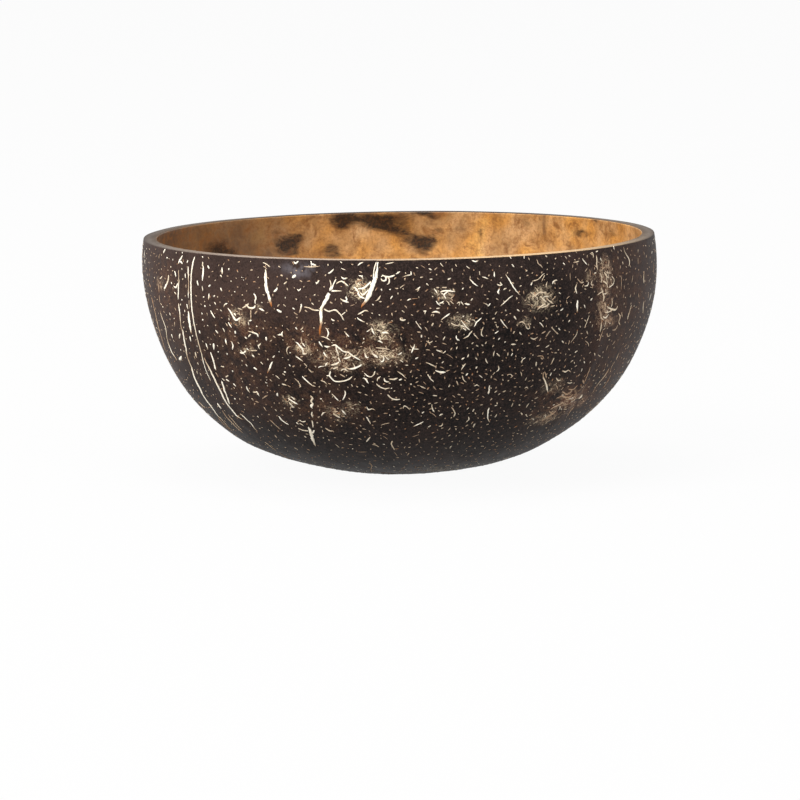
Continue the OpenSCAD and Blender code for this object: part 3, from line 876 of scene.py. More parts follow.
        [(291, 406.5, .4, .7), (294.5, 407, .4, .8)],
        [(290, 409.5, .35, .6), (293, 411.5, .35, .5)],
        [(296, 422, .45, .9), (299, 424, .45, .8)],
        [(299, 419.5, .3, .7), (303, 421.5, .35, .8), (306, 420.5, .3, .7)],
        [(300, 423, .35, .7), (304, 425.5, .35, .7)],
        [(278.6, 415.8, .35, .9), (281, 418.8, .5, 1), (284.5, 422, .5, 1), (288.8, 424.4, .3, .8)],
        [(270, 419.5, .2, .4), (275, 424, .25, .5), (280.5, 428.7, .25, .5)],
        [(321.5, 415.5, .4, .8), (323.3, 412.8, .35, .8), (325, 412.5, .4, .9)],
        [(342, 410, .3, .8), (344, 412.5, .4, .95), (346, 414.8, .25, .7)],
        [(366.5, 406.8, .35, .8), (368.8, 409.8, .4, .9), (372, 408.8, .25, .6), (375.5, 410.3, .25, .4)],
        [(366.3, 417, .4, .8), (368.5, 420.5, .35, .8), (370.5, 424, .25, .6)],
        [(333, 413, .5, .5), (336, 415.5, .6, .7), (340, 417.5, .5, .8)],
        [(335, 411.5, .5, .5), (338, 411.5, .4, .5)],
        [(325.5, 427.5, .5, .5), (330, 430.5, .7, .6), (333, 430.3, .4, .5)],
        [(265.5, 441, .4, .5), (271, 445.5, .4, .5), (276.5, 449.5, .3, .35)],
        [(280, 452, .25, .3), (290, 459, .25, .3)],
        [(366, 442, .3, .7), (368, 440, .35, .8), (370, 437, .3, .6)],
        [(392.3, 440.8, .3, .6), (391.5, 444.5, .4, .7), (394.5, 449.5, .3, .6)],
        [(372, 444.5, .3, .5), (375, 445, .4, .6), (379, 447, .3, .5)],
        [(369.5, 462.5, .3, .4), (371.8, 466, .4, .45), (371, 471, .35, .35)],
        [(387.5, 395, .4, .7), (391, 398.5, .35, .7), (396, 400, .4, .8), (400, 399.5, .3, .7)],
    ],
    "middle_right": [
        [(385.5, 264, .3, .7), (390, 263.2, .35, .8), (394, 262.3, .25, .6)],
        [(402.5, 277, .2, .4), (407, 275.5, .3, .7), (411, 274.8, .5, .95)],
        [(410.5, 271.5, .35, .9), (411.5, 274.8, .5, .95)],
        [(400, 288.2, .35, .8), (402, 286.3, .25, .6), (404.5, 284.8, .2, .4)],
        [(415.5, 289.8, .25, .5), (418.3, 288.5, .45, .9), (420, 286.8, .4, .9)],
        [(423.5, 311, .4, .8), (426.5, 311, .4, .8)],
        [(425.5, 311, .45, .9), (424.8, 314, .35, .7)],
        [(400.3, 318, .4, .7), (401, 320, .6, .8), (403.5, 320.5, .6, .8), (405.5, 319.5, .5, .7)],
        [(400.5, 318, .3, .6), (403, 318, .3, .5)],
        [(415.8, 321, .35, .8), (418, 325, .35, .8), (421.8, 329.3, .4, .9)],
        [(415, 344.3, .3, .8), (413.3, 348.7, .5, 1), (411, 353, .5, 1)],
        [(410.3, 345, .25, .5), (413.3, 348.7, .4, .9), (419, 349.2, .3, .7)],
        [(434, 288.5, .35, .8), (436.5, 291.5, .5, .9), (437.5, 294, .4, .7)],
        [(440, 292, .5, .8), (443.5, 291, .6, .9), (449, 291, .5, 1), (455, 291.5, .3, .9)],
        [(450.5, 289.8, .4, .9), (447, 292, .45, .95), (444.2, 295, .45, .95), (446.2, 299.3, .35, .8)],
        [(441, 293, .4, .8), (444.2, 295, .45, .9)],
        [(442, 287.5, .35, .6), (447, 287.5, .4, .6)],
        [(436, 301, .4, .9), (438, 304, .5, .95), (440.5, 305.5, .35, .8)],
        [(439, 303.5, .5, .8), (442, 302.5, .5, .9), (444, 301, .35, .8)],
        [(446, 300.5, .25, .5), (448.5, 303, .4, .7), (450, 305.3, .3, .7)],
        [(450, 301, .35, .6), (454, 304, .4, .6)],
        [(457, 303.5, .4, .7), (460, 302, .4, .7), (459, 305.5, .4, .8)],
        [(464.5, 303.5, .35, .8), (467.5, 304.2, .65, 1), (470, 304.5, .4, .9)],
        [(432, 312.5, .6, .7), (436, 311.5, .8, .85), (440, 313, .5, .7)],
        [(436.5, 308.5, .4, .8), (440, 308, .4, .7)],
        [(431, 316, .3, .5), (432, 314, .4, .6)],
        [(441, 320, .25, .4), (445, 317, .4, .9), (449.8, 313.5, .5, 1)],
        [(451, 323, .4, .6), (455, 325, .5, .7), (459, 326, .5, .7)],
        [(461, 320, .4, .7), (464, 324, .45, .85), (467, 328, .45, .85), (470, 330, .4, .8)],
        [(463, 328, .4, .8), (466, 330.5, .5, .9)],
        [(467, 320, .4, .7), (470, 322, .4, .8)],
        [(461, 325.5, .4, .8), (464.5, 326.5, .5, .9)],
        [(474.3, 326.5, .4, .9), (476.5, 322.5, .55, 1), (478.5, 320.5, .45, 1), (481.3, 318, .35, .9)],
        [(463, 338.5, .25, .5), (467.5, 336.5, .35, .8), (470, 333, .35, .8), (472.5, 330.5, .25, .6)],
        [(482.8, 327, .3, .7), (481.5, 332.5, .3, .7), (481, 334.5, .35, .8), (483, 336.5, .35, .8)],
        [(474, 334.5, .4, .8), (478.5, 339, .2, .4)],
        [(469.5, 279, .25, .5), (472, 281.5, .45, 1), (475, 284.3, .45, 1), (478, 286.2, .3, .9)],
        [(471.5, 260.3, .3, .8), (475, 261.7, .5, .95), (478, 260.5, .25, .5)],
        [(482, 276.8, .3, .7), (485.5, 277.8, .45, .9), (488, 279, .25, .6)],
        [(494, 271.5, .2, .8), (494.3, 275, .5, 1), (494.5, 277, .6, 1)],
        [(505.5, 274, .2, .5), (508, 278, .4, .9), (510.5, 282, .5, 1), (513, 286.5, .45, 1), (516.5, 291.5, .3, .9),
         (520, 295, .2, .5)],
        [(497, 284, .4, .7), (499.5, 285.5, .45, .8), (502.5, 284.5, .4, .8)],
        [(500, 282, .3, .7), (502, 285.5, .4, .9)],
        [(499.5, 289, .5, .9), (498, 292, .8, 1), (499, 294, .5, .8)],
        [(500.5, 306, .2, .6), (504, 302.5, .35, .9), (508, 299, .35, .8), (512, 295.5, .3, .9)],
        [(483, 302.8, .2, .4), (486.8, 304.5, .3, .8), (488.3, 306.5, .3, .8)],
        [(488.3, 306, .45, 1), (490.3, 303.3, .4, 1)],
        [(500.3, 319.3, .3, .8), (503, 323, .4, .95), (507.3, 328.5, .25, .6)],
        [(496, 324, .25, .6), (497.3, 328, .35, .8)],
        [(495, 333.5, .4, .9), (498, 331, .5, .95)],
        [(456, 335.5, .35, .9), (457, 339, .55, 1), (459.5, 340.3, .4, .9)],
        [(426.5, 341, .4, .5), (430, 343, .5, .7), (432.5, 341, .35, .7)],
        [(428, 340, .3, .5), (430, 345, .35, .6)],
        [(436, 350, .35, .8), (439.5, 351.3, .45, .9), (442.5, 352.5, .3, .6)],
        [(443, 353.5, .35, .7), (445.5, 351, .35, .8)],
        [(426, 362.5, .25, .5), (430.5, 364.3, .45, .8), (435.5, 367, .3, .6)],
        [(435.5, 370.5, .5, .8), (439, 372, .8, .9), (443, 372.5, .9, .95), (445.5, 372.3, .5, .9)],
        [(427.5, 374, .35, .7), (429.3, 377, .35, .8), (431.5, 380, .4, .8), (434, 381.8, .35, .8)],
        [(397.5, 371.5, .25, .5), (402, 374.5, .4, .8), (406.5, 378.5, .25, .5)],
        [(461, 370, .3, .7), (463.3, 366, .5, .8), (465.5, 363.5, .3, .6)],
        [(462, 364.5, .3, .5), (463.3, 366, .5, .8)],
        [(462.2, 375.5, .3, .7), (463, 379, .3, .7), (466, 382, .35, .7)],
        [(498, 365.5, .3, .6), (499, 368.5, .5, .8), (496, 371.5, .4, .8)],
        [(507, 375.3, .3, .7), (510, 373.8, .35, .7), (512.5, 376.3, .35, .8)],
        [(521.5, 363, .35, .7), (522.5, 359.5, .4, .8), (525.5, 357.5, .5, .9)],
        [(448.5, 387, .5, .9), (450, 384.5, .3, .6)],
        [(474.3, 386, .4, .8), (476.8, 384.5, .4, .8), (479, 386, .3, .6)],
        [(489, 385, .4, .8), (489, 388.5, .5, .9), (489, 391.5, .8, .8), (488.2, 393.8, .6, .9)],
        [(489, 407.5, .6, .8), (488, 411, .6, .95), (487.6, 416, .5, .95), (488.5, 420, .35, .7),
         (490, 422, .25, .4)],
        [(451.5, 407, .3, .5), (454, 410.8, .35, .7), (455, 413.5, .4, .8), (453.5, 416.8, .3, .6)],
        [(432, 404, .35, .7), (432, 407, .35, .7), (433.3, 410.5, .45, .9), (434.3, 412, .3, .6)],
        [(403, 409, .3, .6), (405, 406, .4, .8), (409.5, 409.8, .3, .6)],
        [(413.5, 426.7, .25, .5), (417, 425, .55, 1), (420.5, 423.3, .45, 1), (423.5, 421.7, .3, .8)],
        [(438.5, 426, .4, .6), (441.5, 425.5, .5, .8), (443, 423.5, .35, .6)],
        [(441, 428, .4, .7), (443.5, 427.5, .35, .6)],
        [(468.3, 416.5, .3, .7), (469, 419, .45, .8), (466, 422, .3, .6)],
    ],
    "right": [
        [(536.5, 259.5, .2, .4), (538, 263.5, .35, .7), (540.5, 265.5, .35, .7), (542.5, 267.8, .35, .8)],
        [(525.5, 271.5, .5, .8), (527.5, 270, .8, .9)],
        [(544, 273.5, .5, .9), (541.5, 275.5, .35, .8), (538.5, 279, .35, .7), (535, 280.5, .35, .8),
         (531.5, 281.3, .25, .6)],
        [(544.3, 275, .4, .8), (542.8, 278.5, .3, .7), (541.5, 281.5, .2, .4)],
        [(547.3, 281.5, .3, .6), (546, 285.5, .45, .8), (547, 287.5, .3, .6)],
        [(552.5, 284, .7, .95), (553.5, 281, .7, .9), (557, 280, .5, .8)],
        [(530, 292, .5, .7), (534, 295, .6, .75), (537, 298, .5, .75)],
        [(532, 297.5, .5, .7), (537, 294, .6, .8), (541, 291, .5, .7)],
        [(538, 293, .5, .7), (543, 292.5, .6, .8), (546.5, 292, .4, .6)],
        [(540, 296, .5, .8), (543, 299, .6, .85), (546, 302, .5, .8)],
        [(537, 309.5, .4, .7), (540.5, 306.5, .7, .8), (544.5, 303.5, .7, .8)],
        [(546, 298, .5, .7), (549.5, 301, .6, .8), (553, 303.5, .5, .75)],
        [(541, 307.5, .5, .8), (546, 306, .6, .85), (549, 303.5, .5, .8)],
        [(551, 306.5, .5, .7), (554.5, 305.5, .4, .7)],
        [(531, 304, .35, .6), (532, 305.5, .3, .5)],
        [(552, 300, .35, .6), (555, 297, .3, .6)],
        [(566, 300, .25, .5), (567.3, 304, .3, .6)],
        [(582.3, 258.5, .4, .9), (584.5, 261.5, .45, 1), (586.8, 264.5, .7, 1)],
        [(573, 262.5, .3, .5), (576.5, 262, .6, .75), (579, 261, .4, .7)],
        [(590, 254, .3, .6), (592.5, 252.5, .4, .8), (593.5, 255, .45, .85), (593.3, 258, .35, .7)],
        [(596.5, 255.5, .5, .7), (597, 260, .7, .75), (597, 265, .7, .75), (598, 270, .5, .7)],
        [(594.5, 265, .4, .6), (597.5, 268, .5, .7)],
        [(600, 273, .5, .7), (602, 278, .7, .75), (601, 283, .6, .7)],
        [(604, 272, .6, .7), (606, 276, .7, .8), (609, 278, .6, .75)],
        [(603, 281, .6, .8), (606.5, 284, .6, .75)],
        [(611.5, 276, .4, .8), (614, 279.5, .4, .85), (613.5, 283.5, .5, .9), (611, 286, .6, .9),
         (608, 287.5, .4, .8)],
        [(610.5, 277, .35, .7), (611, 282, .3, .6), (613, 285.5, .5, .9)],
        [(606, 273, .4, .7), (611, 273, .4, .7)],
        [(601.5, 288, .5, .7), (602.5, 293, .7, .8), (603.5, 298, .7, .8), (602, 302, .4, .7)],
        [(597.5, 295, .35, .7), (600, 293, .5, .8), (603, 291, .6, .8)],
        [(605, 289, .5, .7), (605.5, 293, .4, .7)],
        [(611.5, 298, .4, .6), (612, 303, .6, .7), (611, 307, .7, .8)],
        [(606, 306, .6, .75), (610, 308.5, .9, .85), (615.5, 309.5, .8, .8), (617.5, 306, .4, .7)],
        [(604, 312, .6, .75), (608, 312, .7, .85), (612, 310, .7, .8)],
        [(602, 316, .6, .8), (604.5, 317.5, .7, .95), (608.5, 314, .5, .8)],
        [(600.5, 312, .4, .6), (600.5, 317, .5, .7), (602.5, 320, .4, .8)],
        [(618, 313, .5, .6), (620, 317, .6, .7), (618.5, 322, .5, .7), (620, 325, .3, .6)],
        [(621.5, 312, .4, .6), (622, 317, .4, .6)],
        [(600.5, 321, .35, .5), (600, 327, .45, .8), (599, 331.5, .4, .7)],
        [(607, 333, .35, .5), (607.5, 336.5, .45, .7), (610, 335, .3, .6)],
        [(612, 330, .3, .6), (615, 329.5, .4, .7), (617.5, 325, .35, .6)],
        [(608.5, 260, .25, .5), (608.3, 266.5, .45, .8)],
        [(623, 247, .2, .4), (625.5, 254, .4, .8), (627.8, 257.5, .6, .9), (629, 261, .6, .9),
         (628.5, 266.5, .4, .8)],
        [(643.3, 271, .35, .5), (642.8, 277, .5, .8), (643, 283, .55, .85)],
        [(643.3, 301, .45, .7), (642.5, 306, .5, .85), (642.3, 313, .4, .7)],
        [(630.8, 305, .5, .8), (629.3, 311, .4, .7), (627.5, 317, .6, .85), (627.3, 319.5, .3, .6)],
        [(518.5, 323, .4, .6), (522, 321.5, .5, .75), (525, 324.5, .4, .7)],
        [(525, 325, .35, .8), (527, 328.5, .45, .9), (529.5, 328, .4, .8), (528, 323, .3, .6)],
        [(539.3, 322.3, .4, .9), (541.5, 324.5, .5, 1), (543.3, 327, .3, .7)],
        [(551.3, 327.3, .3, .7), (554, 330, .35, .8), (556.5, 333, .25, .5)],
        [(530.3, 337.5, .4, .8), (533.5, 339, .45, .85), (537.3, 336.8, .3, .7)],
        [(545.5, 336.8, .3, .5), (548, 333, .35, .7), (550.2, 330.8, .35, .8)],
        [(589.3, 315.5, .3, .7), (587, 321, .35, .8), (584.7, 328, .35, .8)],
        [(577.5, 330.8, .35, .8), (576, 335.5, .4, .8), (573, 339.5, .3, .7), (571, 342.5, .2, .4)],
        [(569.5, 340.5, .4, .6), (568.5, 344.5, .4, .6)],
        [(585, 341, .3, .6), (588, 343, .4, .7), (588.5, 346.5, .35, .7)],
        [(577, 278.5, .35, .5), (580.5, 282.5, .5, .6), (583.5, 282, .5, .8)],
        [(584.5, 286, .5, .8), (587.5, 285.5, .6, .9), (588.5, 282, .4, .9)],
        [(590, 287, .3, .7), (593, 288, .3, .6)],
        [(592.5, 280.5, .4, .7), (591, 284.5, .5, .8), (594, 285, .4, .7)],
    ],
    "low_right": [
        [(543.5, 372, .4, .5), (543, 376, .6, .6), (544.5, 380, .7, .9), (546, 384, .8, .95), (547, 388, .9, 1),
         (547.3, 390.5, .6, .9), (548, 393, .3, .1)],
        [(544.5, 371, .35, .6), (545.8, 375, .4, .6), (546, 378, .4, .7)],
        [(553.7, 357.8, .4, .8), (552.5, 361, .5, .8), (550.5, 364.5, .3, .6)],
        [(537, 356, .35, .6), (542, 355.8, .5, .6), (543.5, 358.5, .4, .5)],
        [(562, 370.5, .4, .7), (565.5, 371.8, .7, .95), (568, 370, .5, .8), (570.5, 372, .4, .6)],
        [(556, 377.5, .5, .8), (558, 380.5, .5, .9), (561, 379.5, .4, .8)],
        [(567, 382.3, .4, .8), (569.5, 383, .6, .95), (572, 382, .4, .8)],
        [(550, 409, .8, .5), (554, 406.5, 1.0, .6), (559, 404, .9, .65), (563, 402, .6, .5)],
        [(549, 411, .6, .4), (552, 413, .8, .45), (556, 410, .7, .45)],
        [(545, 418, .5, .4), (550, 415, .7, .45), (554, 412.5, .6, .4)],
        [(556, 398, .6, .4), (561, 396, .8, .5), (566, 397, .8, .55), (571, 396, .7, .5)],
        [(562, 391, .6, .4), (566, 394, .8, .6), (570, 392, .6, .5), (572, 388.5, .5, .4)],
        [(565, 399.5, .6, .5), (569, 398, .7, .55), (572, 394, .6, .5)],
        [(568, 389, .5, .4), (573, 389, .6, .5), (577, 385, .4, .4)],
        [(578, 398, .8, .85), (581, 397, 1.2, 1), (582, 394, .6, .8)],
        [(581.5, 392, .4, .4), (583.5, 388, .35, .35), (586, 384, .3, .3)],
        [(577.5, 376, .6, .4), (580, 374, .6, .4)],
        [(582, 379, .5, .4), (583, 383, .6, .45)],
        [(592.5, 393, .3, .4), (595, 388, .4, .55), (598.5, 383, .45, .65), (602, 379, .5, .7), (605, 375, .6, .75),
         (607.5, 371, .5, .6), (609, 368, .3, .4)],
        [(610, 372, .3, .35), (612, 366, .4, .4), (615, 361, .4, .45)],
        [(616, 360, .5, .6), (617.5, 356, .6, .7), (619, 353, .35, .5)],
        [(603, 388, .3, .3), (608, 380, .3, .35), (611, 375, .3, .35)],
        [(567, 416, .4, .4), (570, 411, .5, .5), (573.5, 407, .45, .5)],
        [(524.5, 388.5, .35, .7), (526.5, 387, .5, .9), (528, 388.5, .3, .6)],
    ],
}
looseLook = {   # thickness against the strokes' own widths, and how much browner
    "left": (1.05, 0.0), "front": (0.98, 0.0), "low_front": (0.98, 0.0), "middle_right": (0.7, 0.05),
    "right": (0.62, 0.15), "low_right": (0.62, 0.2),
}
for region, strokes in looseFibres.items():
    strand("loose_fibres_" + region, strokes, True, None, *looseLook[region])
print("fibres placed")


# ---- flecks: the cut ends of finer fibres, each a sliver let into the skin

flecks = {
    "tries": 60000, "closest": 1.5, "sparsest": 2.4, "unevenGaps": (0.55, 1.9), "cell": 2.6,   # spacing in mm
    "highest": 7.2,                                           # degrees above the belt
    "clearOfDrawn": 1.2, "aboveFoot": 0.4,                    # square mm, mm
    "drawnThick": 0.85, "leftThick": 1.25, "rightThick": 0.75, "duller": 0.15, "rightStretch": 0.25,
    "thinFrom": 330, "finerFrom": 360, "finerOver": 80,       # pixels across the picture
    "faintTurn": 76, "faintRise": -66,                        # degrees
    "longShare": 0.1, "shortShare": 0.36,
    "long": (1.5, 2.9), "short": (0.7, 1.4), "dot": (0.4, 0.7), "faint": (0.28, 0.6),          # lengths in mm
    "longWide": (0.3, 0.5), "wide": (0.22, 0.46), "faintWide": (0.2, 0.36), "proud": (0.04, 0.08),
}
crowds = [   # where flecks crowd: turn, rise, half width, half height, strength
    (22, -16, 34, 22, 1.0), (-6, -26, 30, 18, 0.5), (150, -20, 40, 25, 0.8), (-120, -40, 30, 20, 0.6),
    (60, -50, 40, 20, 0.5), (0, -90, 200, 14, 0.4),
]
mats = {"behind": 0.55, "front": 0.2, "perArea": 3.4, "spread": 0.6, "highest": 7.0,
        "long": (0.6, 2.2), "wide": (0.16, 0.3)}


def sliverForm():
    # one sliver, modelled once: a four sided bead drawn out to a point at both ends
    deselect()
    bpy.ops.mesh.primitive_uv_sphere_add(segments=4, ring_count=4, radius=1, location=(0, 0, 0))
    piece = bpy.context.object
    bpy.ops.object.mode_set(mode="EDIT")
    bpy.ops.mesh.select_all(action="SELECT")
    bpy.ops.mesh.quads_convert_to_tris()
    bpy.ops.object.mode_set(mode="OBJECT")
    flat = np.empty(len(piece.data.vertices) * 3)
    piece.data.vertices.foreach_get("co", flat)
    shape = flat.reshape(-1, 3)[:, [2, 0, 1]]
    faces = np.array([list(f.vertices) for f in piece.data.polygons])
    bpy.data.objects.remove(piece)
    return shape, faces


def scatter():
    # spots no nearer each other than their own spacing, which is closer where flecks crowd
    grid, kept = {}, []
    cellSize = flecks["cell"]
    for turn, height, chance in rng.uniform(0, 1, (flecks["tries"], 3)):
        turn = turn * 360 - 180
        rise = centreRise + 2 + height * (flecks["highest"] - centreRise - 2)
        if chance > ringRadius(rise) / shell["beltRadius"]:
            continue
        crowd = float(np.clip(humps(turn, rise, crowds), 0, 1))
        apart = flecks["sparsest"] + (flecks["closest"] - flecks["sparsest"]) * crowd
        apart = apart * rng.uniform(*flecks["unevenGaps"])
        x, y, z = (float(v) / mm for v in skin(turn, rise))
        cell = (int(x // cellSize), int(y // cellSize), int(z // cellSize))
        near = (spotXyz for i in (-1, 0, 1) for j in (-1, 0, 1) for k in (-1, 0, 1)
                for spotXyz in grid.get((cell[0] + i, cell[1] + j, cell[2] + k), ()))
        if any((x - u) ** 2 + (y - v) ** 2 + (z - w) ** 2 < apart * apart for u, v, w in near):
            continue
        grid.setdefault(cell, []).append((x, y, z))
        kept.append((turn, rise))
    return np.array(kept)


def placeSlivers(name, turn, rise, length, width, heading, bend, taper, tone, toneEnd, proud):
    shape, faces = sliverForm()
    count, points = len(turn), len(shape)
    x, y, z = (shape[None, :, i] for i in range(3))
    along = x * length[:, None] / 2
    across = y * width[:, None] / 2 * (1 + taper[:, None] * x) + bend[:, None] * (1 - x * x)
    cosH, sinH = np.cos(heading)[:, None], np.sin(heading)[:, None]
    east, north = along * cosH - across * sinH, along * sinH + across * cosH
    atRise = rise[:, None] + np.degrees(north / shell["flankRadius"])
    atTurn = turn[:, None] + np.degrees(east / np.maximum(ringRadius(rise), 1)[:, None])
    place = skin(atTurn, atRise, swell(atTurn, atRise) + z * proud[:, None])
    everyFace = (faces[None] + (np.arange(count) * points)[:, None, None]).reshape(-1, 3)
    mesh = bpy.data.meshes.new(name)
    mesh.from_pydata(place.reshape(-1, 3).tolist(), [], everyFace.tolist())
    layer = mesh.attributes.new("tone", "FLOAT", "POINT")
    tones = tone[:, None] + (toneEnd - tone)[:, None] * (x + 1) / 2
    layer.data.foreach_set("value", tones.ravel().astype(np.float32))
    mesh.polygons.foreach_set("use_smooth", np.ones(len(everyFace), bool))
    mesh.materials.append(husk)
    piece = bpy.data.objects.new(name, mesh)
    bpy.context.collection.objects.link(piece)
    alone(piece)
    bpy.ops.object.mode_set(mode="EDIT")
    bpy.ops.mesh.select_all(action="SELECT")
    bpy.ops.mesh.normals_make_consistent(inside=False)
    bpy.ops.object.mode_set(mode="OBJECT")
    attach(piece, "root")
    print(name, count, "slivers", len(everyFace), "triangles")
    return piece


